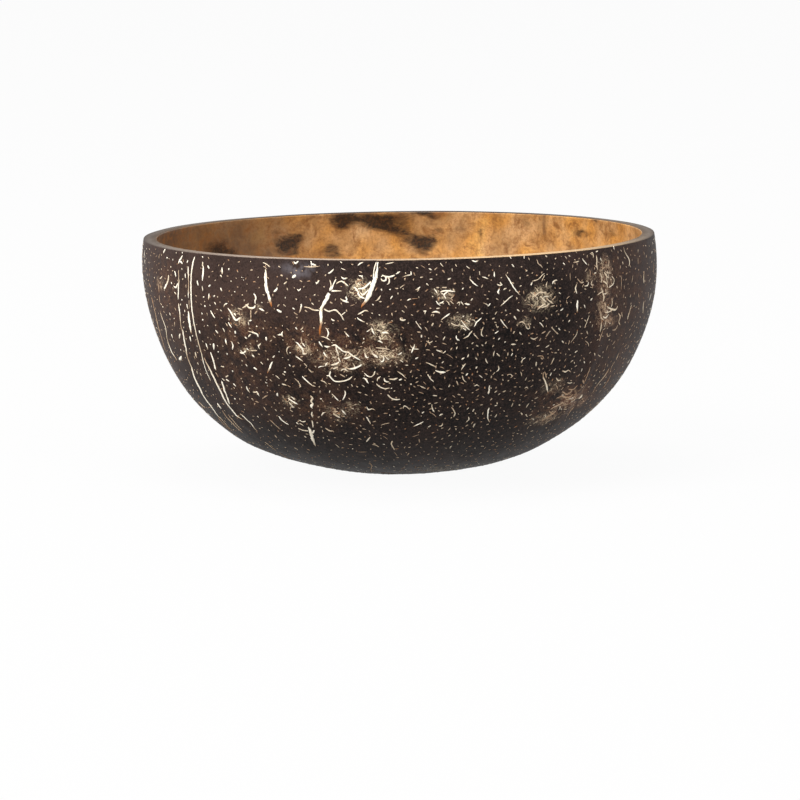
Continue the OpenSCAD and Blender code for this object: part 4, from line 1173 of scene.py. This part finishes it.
drawnFlecks = [   # picture x, y of one end, x, y of the other, width in mm, tone
    (164.5, 253, 166.5, 249.5, .6, 1), (160.6, 254.6, 160, 259, .35, .5), (188.8, 260.5, 187.8, 263, .45, .95),
    (186, 273.5, 186.3, 278, .4, .95), (160.7, 278.5, 163.3, 276, .35, .8), (159.5, 285, 160, 293, .4, .4),
    (160, 295, 160.5, 303, .35, .4), (152, 297, 153.5, 303, .5, .35), (150, 283, 151.5, 287, .45, .35),
    (174.8, 292, 176.7, 294, .4, .8), (187, 304, 188, 309, .5, .95), (203.2, 262, 202.7, 266, .45, .8),
    (202.3, 286, 203, 291, .35, .8), (197.8, 280.5, 198.8, 285.5, .5, 1), (208, 265.5, 209.5, 268.5, .45, .95),
    (220.5, 275, 222, 277, .4, .8), (208.8, 286.5, 210.5, 285, .4, .9), (220.8, 288, 222, 291, .45, .9),
    (214.5, 302, 216, 304.5, .35, .8), (220.5, 309.8, 222, 311, .3, .7), (229, 318, 229.5, 320, .35, .7),
    (238, 308, 243, 310, .3, .6), (248.5, 322, 249, 325, .35, .8), (255, 314, 257.5, 311, .35, .5),
    (226, 323, 228, 326, .3, .6), (216, 330, 218.5, 333, .45, .9), (223, 328, 225, 332, .35, .8),
    (235.3, 331, 235.7, 333.5, .5, 1), (200, 330.5, 201, 333, .5, .95), (189.8, 336.5, 190.8, 341.5, .55, 1),
    (214, 343.5, 214, 349.5, .7, 1), (238, 342, 239.5, 343.5, .3, .6), (248.5, 337, 251, 334.5, .4, .8),
    (245, 337, 247, 338.5, .4, .8), (266, 337, 266.3, 340.5, .5, 1), (252.5, 355, 254.5, 357, .5, .95),
    (178.5, 359.5, 181, 356.5, .85, 1), (170, 313, 170.7, 315.5, .45, .9), (174.8, 322, 175, 326.5, .4, .5),
    (171.3, 334.5, 172.3, 338, .7, .9), (180.3, 334, 179.3, 338.5, .6, .85), (184, 321.5, 183, 323, .3, .7),
    (197, 371, 197.5, 374, .4, .7), (200, 373, 201.5, 376, .4, .6), (226, 377, 228.5, 375.3, .35, .7),
    (222.5, 378.3, 225, 380.3, .35, .8), (226.5, 379, 229.5, 381, .5, .95), (233.5, 383.5, 236, 386, .5, .95),
    (254, 367.5, 257, 369.5, .55, 1), (246, 364, 247.5, 366, .35, .8), (260.7, 362, 263, 364.5, .35, .8),
    (242, 360, 243, 361, .35, .6), (221, 366, 224.5, 367, .35, .7), (252, 398, 253.5, 400.5, .4, .6),
    (255.5, 401, 259, 402.5, .35, .5), (257.5, 415.5, 259, 417, .4, .8),
    (341, 268.3, 345.5, 270, .35, .8), (340, 261.5, 342, 263, .35, .8), (358, 265.5, 363, 262.5, .6, .9),
    (284, 284, 286.5, 281.5, .35, .7), (277, 309.5, 281.5, 312, .6, 1), (292.5, 308, 294.5, 309.5, .35, .9),
    (293.5, 312, 297.5, 315, .25, .5), (311.5, 303, 313.5, 305, .3, .7), (350, 306, 355, 304.5, .25, .4),
    (295.5, 327.5, 297, 329.5, .35, .9), (300.5, 330, 303, 327, .3, .6), (266, 337, 266, 340, .4, .8),
    (270, 341.5, 272, 340, .25, .5), (362, 343.5, 364.5, 341.5, .3, .7), (272.5, 357.5, 274.5, 355.5, .35, .8),
    (289, 364.5, 290.2, 366.5, .35, .9), (282.5, 373.5, 285, 375.5, .3, .7), (275.5, 375.5, 279.5, 379, .3, .7),
    (282, 384, 286.5, 385.5, .45, .8), (362, 385, 364.5, 387, .35, .7), (351.5, 384.5, 352.5, 386.5, .4, .7),
    (330, 390.5, 329.5, 392.5, .4, .8), (322, 400, 323.5, 402, .25, .5), (277.7, 393, 277.7, 396, .45, .9),
    (263.5, 398, 268, 395.3, .3, .5), (264, 407, 266.5, 411, .35, .5), (275, 409.3, 276.8, 410.8, .3, .7),
    (380.5, 425.5, 389.5, 423.2, .4, .6), (322.5, 429.5, 323, 431.5, .25, .5), (304.5, 435.8, 306.5, 437, .4, .8),
    (287, 434.5, 289.5, 436.5, .3, .6), (275, 434.5, 277, 437.5, .4, .6), (294.5, 447, 298, 449, .5, .6),
    (335.5, 444, 339.5, 447.5, .35, .7), (358, 451.5, 367, 451.5, .4, .4), (394, 452, 397, 456, .25, .4),
    (395.5, 411.5, 398.5, 411.5, .35, .6), (382, 433, 388, 435, .3, .5), (383, 436, 388, 439.5, .25, .4),
    (365, 394.5, 367.5, 395.5, .4, .7), (359, 401.5, 361, 403, .35, .6),
    (396, 274, 399.8, 271.5, .5, .95), (407.5, 300.5, 410.8, 299, .55, .95), (411, 299.3, 418, 298.5, .2, .3),
    (390.5, 299, 392.5, 296, .45, .9), (402, 310.5, 404.5, 312.5, .35, .8), (425, 327, 427.5, 331, .35, .6),
    (400.5, 337, 402, 340.5, .3, .7), (398.5, 354.5, 401.5, 352.5, .55, 1), (411, 338.5, 413, 339.5, .25, .6),
    (429, 268.5, 431.5, 270, .5, .95), (421, 265.5, 425, 268, .25, .4), (426.5, 283.5, 428.3, 285.5, .45, .9),
    (440.3, 263, 443.3, 266.5, .4, .95), (452, 268.5, 452.3, 271.5, .35, .8), (447.8, 279.5, 450.8, 278, .5, .95),
    (461, 301.5, 463.5, 305, .4, .95), (471, 300.5, 472.5, 298.5, .4, .9), (440.8, 321, 443, 322.5, .25, .7),
    (466.3, 266, 469.8, 268.5, .4, .9), (479.5, 271.5, 479.8, 275, .35, .8), (477, 278, 479, 279.5, .3, .5),
    (503.5, 289.8, 506.3, 288.3, .5, .9), (512, 264.5, 514, 267, .5, 1), (495, 314.5, 497, 311.5, .3, .8),
    (443, 340, 445, 336.5, .4, .9), (435.5, 336, 438, 337.5, .35, .8), (442.5, 343, 446.5, 344.5, .35, .6),
    (456.3, 349, 457.3, 346.5, .4, .9), (446, 354, 453, 358.5, .25, .6), (426, 350, 430, 350.5, .4, .6),
    (494.5, 351, 493.3, 356, .4, .9), (496.5, 353, 499.5, 356, .5, .9), (511, 355.5, 512.5, 353, .45, 1),
    (511.5, 344.5, 515, 344, .4, .9), (467.3, 357, 468.3, 354, .45, .9), (475.5, 357.5, 477, 359.5, .4, .9),
    (485.5, 358.5, 487.5, 363, .45, .9), (513, 333, 514.5, 331.5, .5, .7),
    (405.5, 365.3, 408, 365.3, .4, .8), (440.5, 367, 444, 368.5, .35, .5), (442, 363, 443.7, 361.5, .45, .95),
    (433.5, 374, 435, 372, .4, .7), (423.5, 382, 426, 384.5, .3, .5), (420, 386, 425.5, 388.5, .45, .8),
    (418.5, 392, 423.5, 393.8, .35, .5), (433, 395.5, 437, 395.8, .5, .95), (433.5, 386.5, 436, 389.5, .35, .6),
    (454, 372.5, 456, 370.8, .3, .5), (479, 375, 482, 377.5, .4, .95), (492.5, 374.5, 495, 372, .3, .7),
    (520.5, 372, 521.5, 376, .4, .8), (493.5, 378.5, 496.5, 380, .35, .6), (525, 380.5, 526.5, 377.5, .35, .8),
    (523, 365, 521, 366, .3, .5), (530, 358, 529.5, 360, .3, .6), (456.5, 381, 458, 385, .45, .7),
    (494.5, 392.3, 496.5, 390.5, .5, .85), (498, 394.8, 500, 393, .35, .9), (475.5, 399.5, 478, 399, .35, .5),
    (482.5, 396, 484, 397.5, .35, .5), (444, 400, 446, 398, .35, .8), (452.5, 395.5, 455, 397.5, .35, .6),
    (403, 401, 405, 400, .35, .6), (414.5, 402.7, 416.5, 402, .35, .6), (513, 402.5, 511.3, 406.7, .4, .8),
    (528.8, 403.3, 525.8, 407.5, .45, .8), (520.4, 412.5, 521.7, 414.6, .55, .9),
    (525.8, 413.8, 527.5, 416.2, .45, .9),
    (494.8, 417, 496.6, 414, .55, .9), (467, 409.2, 468.4, 407.5, .45, .9), (472.5, 411.5, 474, 409, .5, .9),
    (431, 413, 436, 417, .3, .6), (417, 409.5, 419.5, 412.5, .35, .5), (428, 427, 430.5, 425.5, .5, .9),
    (448, 430, 450, 427.5, .35, .8), (465.5, 426, 468, 424.5, .45, .7), (475, 423.5, 473.3, 427, .55, .9),
    (448.5, 435.8, 450.5, 434.3, .4, .8), (434, 437.8, 436, 436.5, .5, .7), (419, 439, 419.5, 442, .5, .6),
    (412, 436.5, 419, 434.5, .3, .45), (451.5, 445.5, 449.8, 448, .4, .9), (465.5, 448.5, 467.5, 447.5, .3, .5),
    (484, 448, 485.5, 446.5, .3, .5), (404.5, 448, 405.5, 446, .35, .6), (407, 455, 409, 452.5, .4, .6),
    (461, 455.5, 463, 454, .4, .55),
    (564.8, 256.5, 566.5, 259, .4, .8), (563, 263, 564.6, 264.8, .55, .95), (558.8, 292.5, 560.5, 293.8, .45, .95),
    (560.5, 310.5, 563, 308.3, .5, 1), (566.5, 299, 569.5, 296, .35, .6), (584, 305, 585, 308, .5, .95),
    (575, 250.5, 577, 253, .3, .7), (585, 271.5, 587.5, 268, .35, .7), (570, 273, 570.3, 280.5, .3, .45),
    (596, 252, 598, 250.8, .5, 1), (587.5, 255, 587, 257.5, .4, .7), (600.5, 258, 601.5, 261, .45, 1),
    (602, 269, 605, 266.5, .35, .5), (613.5, 246, 614.3, 249.5, .6, 1), (637.5, 258, 637.3, 264, .35, .6),
    (621.3, 275, 620.8, 290, .4, .45), (632.3, 275, 631, 283, .4, .6), (652.5, 262, 652.3, 274, .45, .4),
    (624, 285, 624, 289, .35, .6), (637.5, 293.5, 638.3, 297, .5, .5), (648, 293, 647.5, 298, .55, .7),
    (623.5, 294, 622.8, 298, .4, .6), (616, 295, 617, 297.5, .4, .6), (634, 321, 631, 327, .35, .5),
    (631.5, 333, 629, 338, .5, .6), (640, 338, 636, 343, .4, .4), (615, 341, 612, 345, .4, .6),
    (608, 345, 606, 350, .4, .6), (627, 344, 624, 347, .4, .5), (514, 316, 515.8, 319.3, .5, .9),
    (513, 333.5, 514, 331, .45, .8), (519.5, 332, 521.5, 334.5, .45, .9), (517, 309.5, 519, 311, .5, .9),
    (524, 316, 526.5, 318, .3, .6), (558.5, 328, 560, 330, .5, 1), (570, 320, 568.5, 322, .5, .9),
    (562, 340.8, 563.5, 343, .5, .95), (545.5, 347.3, 549, 345, .45, .9), (587, 331, 588, 334, .5, .8),
    (596, 340, 597.5, 338.5, .3, .7), (597.5, 354.5, 600, 356.5, .6, .8), (511, 344.3, 515.5, 344.3, .5, .9),
    (583.5, 284, 582, 287, .4, .6), (541.5, 333, 545, 331, .6, .6),
    (536.3, 362, 536, 366, .6, .9), (554, 370.5, 555.5, 368.5, .5, .8), (555.5, 385, 557.5, 389, .4, .6),
    (561, 389.5, 563, 386.8, .4, .7), (581, 371.5, 582, 368.5, .5, .95), (534.5, 399, 538, 397, .4, .8),
    (543, 399.5, 545, 397.5, .3, .5), (543, 416, 545.5, 413.7, .4, .8), (598, 366.5, 599.5, 364.5, .4, .5),
    (526.5, 428.5, 529, 425.5, .4, .5), (557.5, 425, 560, 422.5, .45, .35), (530.5, 387, 533, 385, .35, .6),
    (528, 381.5, 530.5, 380.5, .3, .5), (524, 396.5, 527, 395, .35, .5),
]
drawnDots = [   # picture x, y, size in mm, tone
    (156.8, 249.3, .3, .4), (152.9, 252.5, .35, .4), (168.3, 257.9, .5, .95), (174.2, 259.8, .45, .9),
    (177.5, 253, .4, .7),
    (183.4, 252.8, .4, 1), (172, 267, .45, .85), (162.5, 269, .45, .7), (183, 269, .4, .8), (155.7, 277.7, .4, .7),
    (172.3, 283, .6, .9), (185.8, 295.8, .35, .7), (182.3, 299.8, .45, .9), (184.8, 311, .5, .95),
    (180.7, 304.5, .5, .8),
    (203, 257, .5, .95), (229, 269.2, .5, .95), (215.5, 280.3, .35, .7), (231.3, 281.2, .4, .8),
    (235, 291.7, .45, .9),
    (231.8, 295, .3, .6), (214.5, 296, .5, .9), (217.8, 297, .4, .6), (204, 297, .45, .8), (205, 301.5, .4, .6),
    (205.2, 306, .5, 1), (210.3, 305.3, .35, .8), (202.3, 313.5, .5, 1), (203, 319.7, .55, 1), (204.5, 326, .35, .6),
    (208, 325.5, .35, .7), (217.5, 309.3, .35, .7), (262, 302.5, .35, .8), (265, 321, .35, .6),
    (256.8, 326.3, .5, .8),
    (192.5, 336, .4, .9), (197.3, 346.3, .5, .9), (208, 337.5, .35, .6), (211.2, 339, .3, .5), (220, 336, .35, .5),
    (210.3, 344.3, .4, .9), (217.7, 345.7, .35, .8), (223.3, 346, .4, .6), (218.5, 351.7, .4, .9),
    (227.5, 353.7, .45, .95),
    (163.3, 306.8, .5, .85), (167.5, 305.5, .4, .5), (174.3, 318.5, .45, .85), (167.5, 327, .35, .5),
    (186, 331.5, .4, .6),
    (186, 339, .4, .7), (183.5, 327.5, .4, .7), (180.5, 350, .5, .9), (198, 363.5, .5, .8), (232.8, 371, .5, 1),
    (235.5, 398.3, .55, 1), (245, 409, .4, .5), (241.5, 378.5, .35, .6), (242.7, 381.3, .4, .6), (260, 428, .4, .6),
    (262.5, 427, .35, .5), (260.3, 422, .35, .5), (232, 388.5, .35, .6), (221, 384, .3, .5), (206, 391, .4, .7),
    (213.5, 394.5, .4, .7), (250.5, 343.5, .35, .6), (268, 359.5, .5, .7),
    (294, 276.5, .9, 1), (281.5, 275.5, .6, .6), (314.5, 295, .4, .7), (318, 295.3, .25, .5), (306, 297, .25, .5),
    (285.3, 297.7, .3, .8), (319, 301, .3, .5), (356, 303, .3, .6), (333, 323.5, .3, .7), (373, 304.7, .35, .8),
    (372.2, 313.3, .35, .6), (379.5, 315, .35, .9), (381.5, 289.7, .4, .9), (302.5, 331.5, .4, .8),
    (283, 340, .3, .6),
    (363.8, 338.7, .4, .9), (290, 352.8, .35, .9), (279, 351.8, .35, .9),
    (266.5, 377, .5, .4), (284.8, 372.2, .5, 1), (293.3, 372, .3, .6), (294.5, 375, .25, .5), (273, 374.5, .25, .6),
    (335.5, 376, .4, .7), (346.5, 375.5, .3, .6), (391.5, 388.5, .4, 1), (338, 389, .3, .5), (321, 398.8, .5, .9),
    (302.8, 399, .4, .7), (269, 414.3, .5, .55), (284.8, 408, .35, .6), (372.5, 425.3, .4, .5), (338, 420, .5, .6),
    (321.5, 426.5, .4, .6), (317.5, 422.3, .4, .7), (341.7, 426, .4, .6), (323.5, 437.3, .4, .8),
    (327.5, 435.8, .3, .6),
    (352.7, 448.5, .4, .9), (342.5, 454.5, .35, .6), (336.5, 461, .35, .5), (365.5, 459.3, .35, .6),
    (315.5, 456, .4, .4),
    (369.5, 435.5, .3, .5), (383.7, 444.3, .4, .9), (380, 456.5, .35, .6), (397, 457.3, .4, .6), (383.5, 404, .4, .6),
    (389.7, 415.5, .4, .9), (396, 420, .5, .6), (376.5, 401.5, .35, .6),
    (390, 289.5, .4, .9), (417, 267.8, .4, .8), (401, 300, .3, .4), (398, 293.5, .35, .7), (418.8, 297, .3, .7),
    (424.8, 304.7, .35, .6), (412, 315, .4, .6), (395.7, 311.3, .35, .5), (421.5, 336.2, .55, 1),
    (425, 336.5, .3, .6),
    (405.5, 345.5, .3, .7), (411.5, 335, .3, .5), (416.8, 358.2, .55, 1), (424.5, 355, .3, .6),
    (430.3, 272.5, .3, .5),
    (429, 264.5, .35, .7), (431, 279.2, .45, .9), (446, 262.5, .25, .4), (456, 265.5, .4, .8), (432.5, 324.5, .6, .8),
    (457.5, 312.3, .4, .8), (463.5, 316.2, .45, 1), (471, 314.5, .4, .8), (449, 324.5, .4, .6), (440, 325.5, .5, .5),
    (464, 270.5, .35, .5), (462.8, 274, .3, .4), (462.8, 288.7, .5, 1), (462.5, 283, .35, .6), (490.5, 265, .3, .6),
    (509.5, 290.5, .35, .8), (497, 299, .4, .8), (489, 291.5, .35, .5), (487.5, 298.8, .35, .7),
    (510.5, 257.5, .45, 1),
    (507, 265.5, .3, .5), (505.5, 310.3, .45, .9), (479.5, 309.5, .3, .6), (475.5, 311, .35, .7),
    (494.5, 307, .3, .6),
    (493.5, 318.5, .5, .8), (486.5, 319.5, .35, .5), (487, 313.5, .3, .5), (472.5, 343, .4, .8), (477, 345.7, .4, .9),
    (482.3, 345.2, .4, .9), (485.8, 342.6, .4, .8), (493, 345.8, .4, .7), (499, 338.7, .45, 1), (505, 341.8, .45, 1),
    (504.5, 350, .35, .5), (463, 358.5, .7, .95), (514.5, 317.5, .5, .9),
    (420.3, 364, .3, .5), (426.5, 372.5, .35, .6), (400.5, 379.7, .6, 1), (401, 385, .4, .8), (411, 384.3, .5, .9),
    (412.5, 376.5, .35, .5), (421, 375.8, .35, .6), (444.8, 378, .45, .6), (466.8, 374.3, .7, 1),
    (462.5, 373, .45, .6),
    (476.3, 367.3, .55, .95), (470, 369, .3, .5), (502.7, 379.5, .4, .8), (453.5, 386, .4, .5), (465, 390, .5, .6),
    (504.2, 391, .6, .8), (472.5, 392.5, .45, .6), (478, 395.5, .4, .5), (451.5, 401.5, .4, .6),
    (424.5, 400, .35, .7),
    (417, 398.3, .35, .6), (404.5, 390.3, .35, .6), (405, 393, .3, .5), (481.5, 404.7, .45, .8),
    (495.7, 405.3, .5, .9),
    (497, 403, .55, .9), (519.3, 404.8, .6, .9), (506.5, 415.8, .6, .6), (441, 414.7, .7, 1), (423, 412.5, .55, 1),
    (427.5, 428.5, .3, .6), (455.5, 426.3, .45, .7), (457, 419, .45, .5), (442.3, 438.5, .5, .7), (426, 439, .4, .5),
    (478.3, 437.7, .55, .6), (487.3, 440.8, .45, .6), (492.5, 444.3, .55, .6), (474.7, 447.5, .5, .8),
    (473, 441.5, .35, .5),
    (428.5, 453.8, .6, .7), (397.7, 457.3, .6, .6), (442, 454, .4, .4), (420, 452.3, .3, .4), (471.5, 452.5, .3, .4),
    (524.2, 257.3, .5, .95), (546, 256.3, .5, .9), (569.3, 256, .45, .9), (561, 256.5, .3, .4),
    (521.5, 266.8, .4, .7),
    (527.5, 275.5, .35, .7), (554.5, 264, .35, .5), (553.5, 268.5, .35, .7), (531.5, 283.7, .6, 1),
    (520.5, 286, .4, .8),
    (520, 278, .4, .8), (554.5, 283, .5, .8), (555, 288, .35, .5), (560, 301.3, .4, .6), (571, 302.5, .35, .4),
    (591.5, 299.3, .55, 1), (595.3, 273, .55, 1), (590.5, 276.5, .35, .6), (577, 264, .4, .6), (575.5, 269, .35, .5),
    (597, 304, .3, .5), (617.8, 258, .55, .7), (622.5, 263, .7, .7), (630.3, 255, .35, .5), (625.5, 279.5, .5, .6),
    (646.5, 269, .5, .6), (649.5, 279, .4, .6), (635.5, 307, .5, .6), (626, 338, .4, .5), (525, 300.5, .4, .7),
    (518.5, 302.5, .3, .5), (546, 326, .35, .5), (552.5, 336.5, .35, .6), (582, 318.5, .4, .5), (595, 335, .45, .7),
    (576.3, 351.7, .6, .95), (593.5, 353.7, .6, .85),
    (550.8, 374.2, .6, 1), (548, 357.5, .4, .6), (549.5, 370, .35, .6), (574.3, 362.7, .45, .8),
    (584.3, 362.3, .6, .9),
    (553.3, 404.5, .6, .95), (543.3, 406.5, .45, .6), (534.5, 406, .4, .6), (532, 411, .4, .5), (538, 411, .4, .5),
    (596.5, 370, .5, .6), (546, 427.5, .55, .7), (530.2, 424.8, .45, .7), (565, 420.3, .5, .45), (525, 435, .4, .5),
    (522.5, 439.5, .45, .6), (532.7, 380.3, .45, .7), (539.7, 380, .4, .6), (580, 397, 1.0, 1),
]


def toRight(x):
    # 0 left of the middle of the picture, 1 right of it, where the fibres are finer and browner
    return min(max((x - flecks["finerFrom"]) / flecks["finerOver"], 0), 1)


def makeFlecks():
    # those of the front first, each given one by one, and then finer ones strewn over the rest
    rows = []
    for x0, y0, x1, y1, width, tone in drawnFlecks:
        start, end = spot(x0, y0), spot(x1, y1)
        middle = ((start[0] + end[0]) / 2, (start[1] + end[1]) / 2)
        east = math.radians(end[0] - start[0]) * float(ringRadius(middle[1]))
        north = math.radians(end[1] - start[1]) * shell["flankRadius"]
        thin = flecks["drawnThick"] * (flecks["leftThick"] if x0 < flecks["thinFrom"] else flecks["rightThick"])
        rows.append((*middle, math.hypot(east, north) + 0.4 * width, width * thin, math.atan2(north, east),
                     float(dulled(tone, flecks["duller"] * toRight(x0)))))
    for x, y, size, tone in drawnDots:
        stretch = flecks["rightStretch"] * toRight(x)
        rows.append((*spot(x, y), size * rng.uniform(0.9, 1.5) * (1 + stretch),
                     size * flecks["drawnThick"] * (1 - stretch), rng.uniform(0, math.pi),
                     float(dulled(tone, flecks["duller"] * toRight(x)))))
    drawn = np.array(rows)
    drawnPlaces = skin(drawn[:, 0], drawn[:, 1]) / mm
    count = len(drawn)
    bend = np.where(drawn[:, 2] > 1.0, rng.uniform(-0.1, 0.1, count), 0) * drawn[:, 2]
    placeSlivers("drawn_flecks", drawn[:, 0], drawn[:, 1], drawn[:, 2], drawn[:, 3], drawn[:, 4], bend,
                 rng.uniform(-0.35, 0.35, count), drawn[:, 5], dulled(drawn[:, 5], rng.uniform(0, 0.2, count)),
                 0.04 + 0.06 * drawn[:, 3])

    spots = scatter()
    places = skin(spots[:, 0], spots[:, 1]) / mm
    clear = np.array([((drawnPlaces - place) ** 2).sum(1).min() > flecks["clearOfDrawn"] for place in places])
    spots = spots[clear & (places[:, 2] > flecks["aboveFoot"])]
    count = len(spots)
    # between those drawn one by one they are faint
    faint = (np.abs(spots[:, 0]) < flecks["faintTurn"]) & (spots[:, 1] > flecks["faintRise"])
    kind = rng.uniform(0, 1, count)
    long = kind < flecks["longShare"]
    dash = kind < flecks["longShare"] + flecks["shortShare"]
    length = np.where(long, rng.uniform(*flecks["long"], count),
                      np.where(dash, rng.uniform(*flecks["short"], count), rng.uniform(*flecks["dot"], count)))
    width = np.where(long, rng.uniform(*flecks["longWide"], count), rng.uniform(*flecks["wide"], count))
    bright = rng.uniform(0, 1, count)
    tone = np.where(bright < 0.45, rng.uniform(0.75, 1.0, count), rng.uniform(0.4, 0.75, count))
    length = np.where(faint, rng.uniform(*flecks["faint"], count) * (1 + dash * 0.8), length)
    width = np.where(faint, rng.uniform(*flecks["faintWide"], count), width)
    tone = np.where(faint, rng.uniform(0.4, 0.62, count), tone)
    bend = np.where(rng.uniform(0, 1, count) < 0.5, rng.uniform(-0.14, 0.14, count), 0) * length
    placeSlivers("strewn_flecks", spots[:, 0], spots[:, 1], length, width, rng.uniform(0, math.pi, count), bend,
                 rng.uniform(-0.6, 0.6, count), tone, tone - rng.uniform(0, 0.25, count),
                 rng.uniform(*flecks["proud"], count))


def makeMats():
    # slivers heaped on the patches of matted fibre
    rows = []
    for turn, rise, wide, tall, strength in fuzzyPatches:
        share = mats["behind"] if abs(turn) > flecks["faintTurn"] else mats["front"]
        for _ in range(int(wide * tall * mats["perArea"] * share * strength)):
            rows.append((turn + rng.normal(0, wide * mats["spread"]), rise + rng.normal(0, tall * mats["spread"])))
    spots = np.array(rows)
    count = len(spots)
    length, width = rng.uniform(*mats["long"], count), rng.uniform(*mats["wide"], count)
    heading = rng.uniform(0, math.pi, count)
    bend = rng.uniform(-0.28, 0.28, count) * length
    tone = rng.uniform(0.4, 1.0, count)
    placeSlivers("matted_fibres", spots[:, 0], np.minimum(spots[:, 1], mats["highest"]), length, width, heading,
                 bend, rng.uniform(-0.5, 0.5, count), tone,
                 np.clip(tone - rng.uniform(0, 0.5, count), 0.1, 1), rng.uniform(*flecks["proud"], count))


makeFlecks()
makeMats()

# ---- floor, light and camera


studio = {   # name: place, size in metres, power in watts, colour
    "key": ((-1.3, -1.2, 1.3), 1.2, 46, "#fffaf4"),
    "fill": ((1.5, -1.2, 0.9), 1.4, 12, "#f8faff"),
    "top": ((-0.2, -0.2, 1.8), 1.0, 24, "#ffffff"),
}
ground = {"size": 12, "below": 0.00005, "colour": "#b4b4b4", "roughness": 0.9, "whiteness": 0.95}   # metres
around = {"onObject": 0.6, "behind": 1.0}   # strength of the white world


def seenWhite(owner):
    # 1 for what the camera and mirrors see, 0 for the light that falls on the object
    light = addNode(owner, "ShaderNodeLightPath")
    seen = sums(owner, "MAXIMUM", light.outputs["Is Camera Ray"], light.outputs["Is Glossy Ray"])
    return sums(owner, "MAXIMUM", seen, light.outputs["Is Transmission Ray"])


def makeFloor():
    deselect()
    bpy.ops.mesh.primitive_plane_add(size=ground["size"], location=(0, 0, -ground["below"]))
    floor = bpy.context.object
    floor.name = "studio_floor"
    material, surface = newMaterial("matt_white_floor")
    surface.inputs["Base Color"].default_value = linear(ground["colour"])
    surface.inputs["Roughness"].default_value = ground["roughness"]
    surface.inputs["Specular IOR Level"].default_value = 0.0
    glow = addNode(material, "ShaderNodeEmission", {"Strength": 1.0})
    mix = addNode(material, "ShaderNodeMixShader")
    plug(material, times(material, seenWhite(material), ground["whiteness"]), mix.inputs[0])
    plug(material, surface.outputs[0], mix.inputs[1])
    plug(material, glow.outputs[0], mix.inputs[2])
    plug(material, mix.outputs[0], material.node_tree.nodes["Material Output"].inputs["Surface"])
    floor.data.materials.append(material)


def makeLights():
    for name, (place, size, power, colour) in studio.items():
        lamp = bpy.data.lights.new(name + "_lamp", "AREA")
        lamp.size, lamp.energy, lamp.color = size, power, linear(colour)[:3]
        holder = bpy.data.objects.new(name + "_lamp", lamp)
        bpy.context.collection.objects.link(holder)
        holder.location = place
        toward = np.array(view["aim"]) - np.array(place)
        holder.rotation_euler = (math.atan2(math.hypot(toward[0], toward[1]), -toward[2]), 0,
                                 math.atan2(toward[1], toward[0]) - math.pi / 2)
    world = bpy.data.worlds.new("studio_white")
    bpy.context.scene.world = world
    world.use_nodes = True
    back = world.node_tree.nodes["Background"]
    strength = addNode(world, "ShaderNodeMapRange", {"To Min": around["onObject"], "To Max": around["behind"]},
                       Value=seenWhite(world))
    plug(world, strength.outputs[0], back.inputs["Strength"])
    back.inputs["Color"].default_value = (1, 1, 1, 1)


def makeCamera():
    camera = bpy.data.cameras.new("front_view")
    camera.lens, camera.sensor_width = view["lens"], view["sensor"]
    camera.shift_x, camera.shift_y = view["shift"]
    camera.clip_start, camera.clip_end = 0.05, 30
    holder = bpy.data.objects.new("front_view", camera)
    bpy.context.collection.objects.link(holder)
    tip = math.radians(view["elevation"])
    holder.location = (view["aim"][0], view["aim"][1] - view["distance"] * math.cos(tip),
                       view["aim"][2] + view["distance"] * math.sin(tip))
    holder.rotation_euler = (math.pi / 2 - tip, 0, 0)
    bpy.context.scene.camera = holder


makeFloor()
makeLights()
makeCamera()
bpy.context.scene.view_settings.view_transform = "Standard"
print("stage, light and camera set")
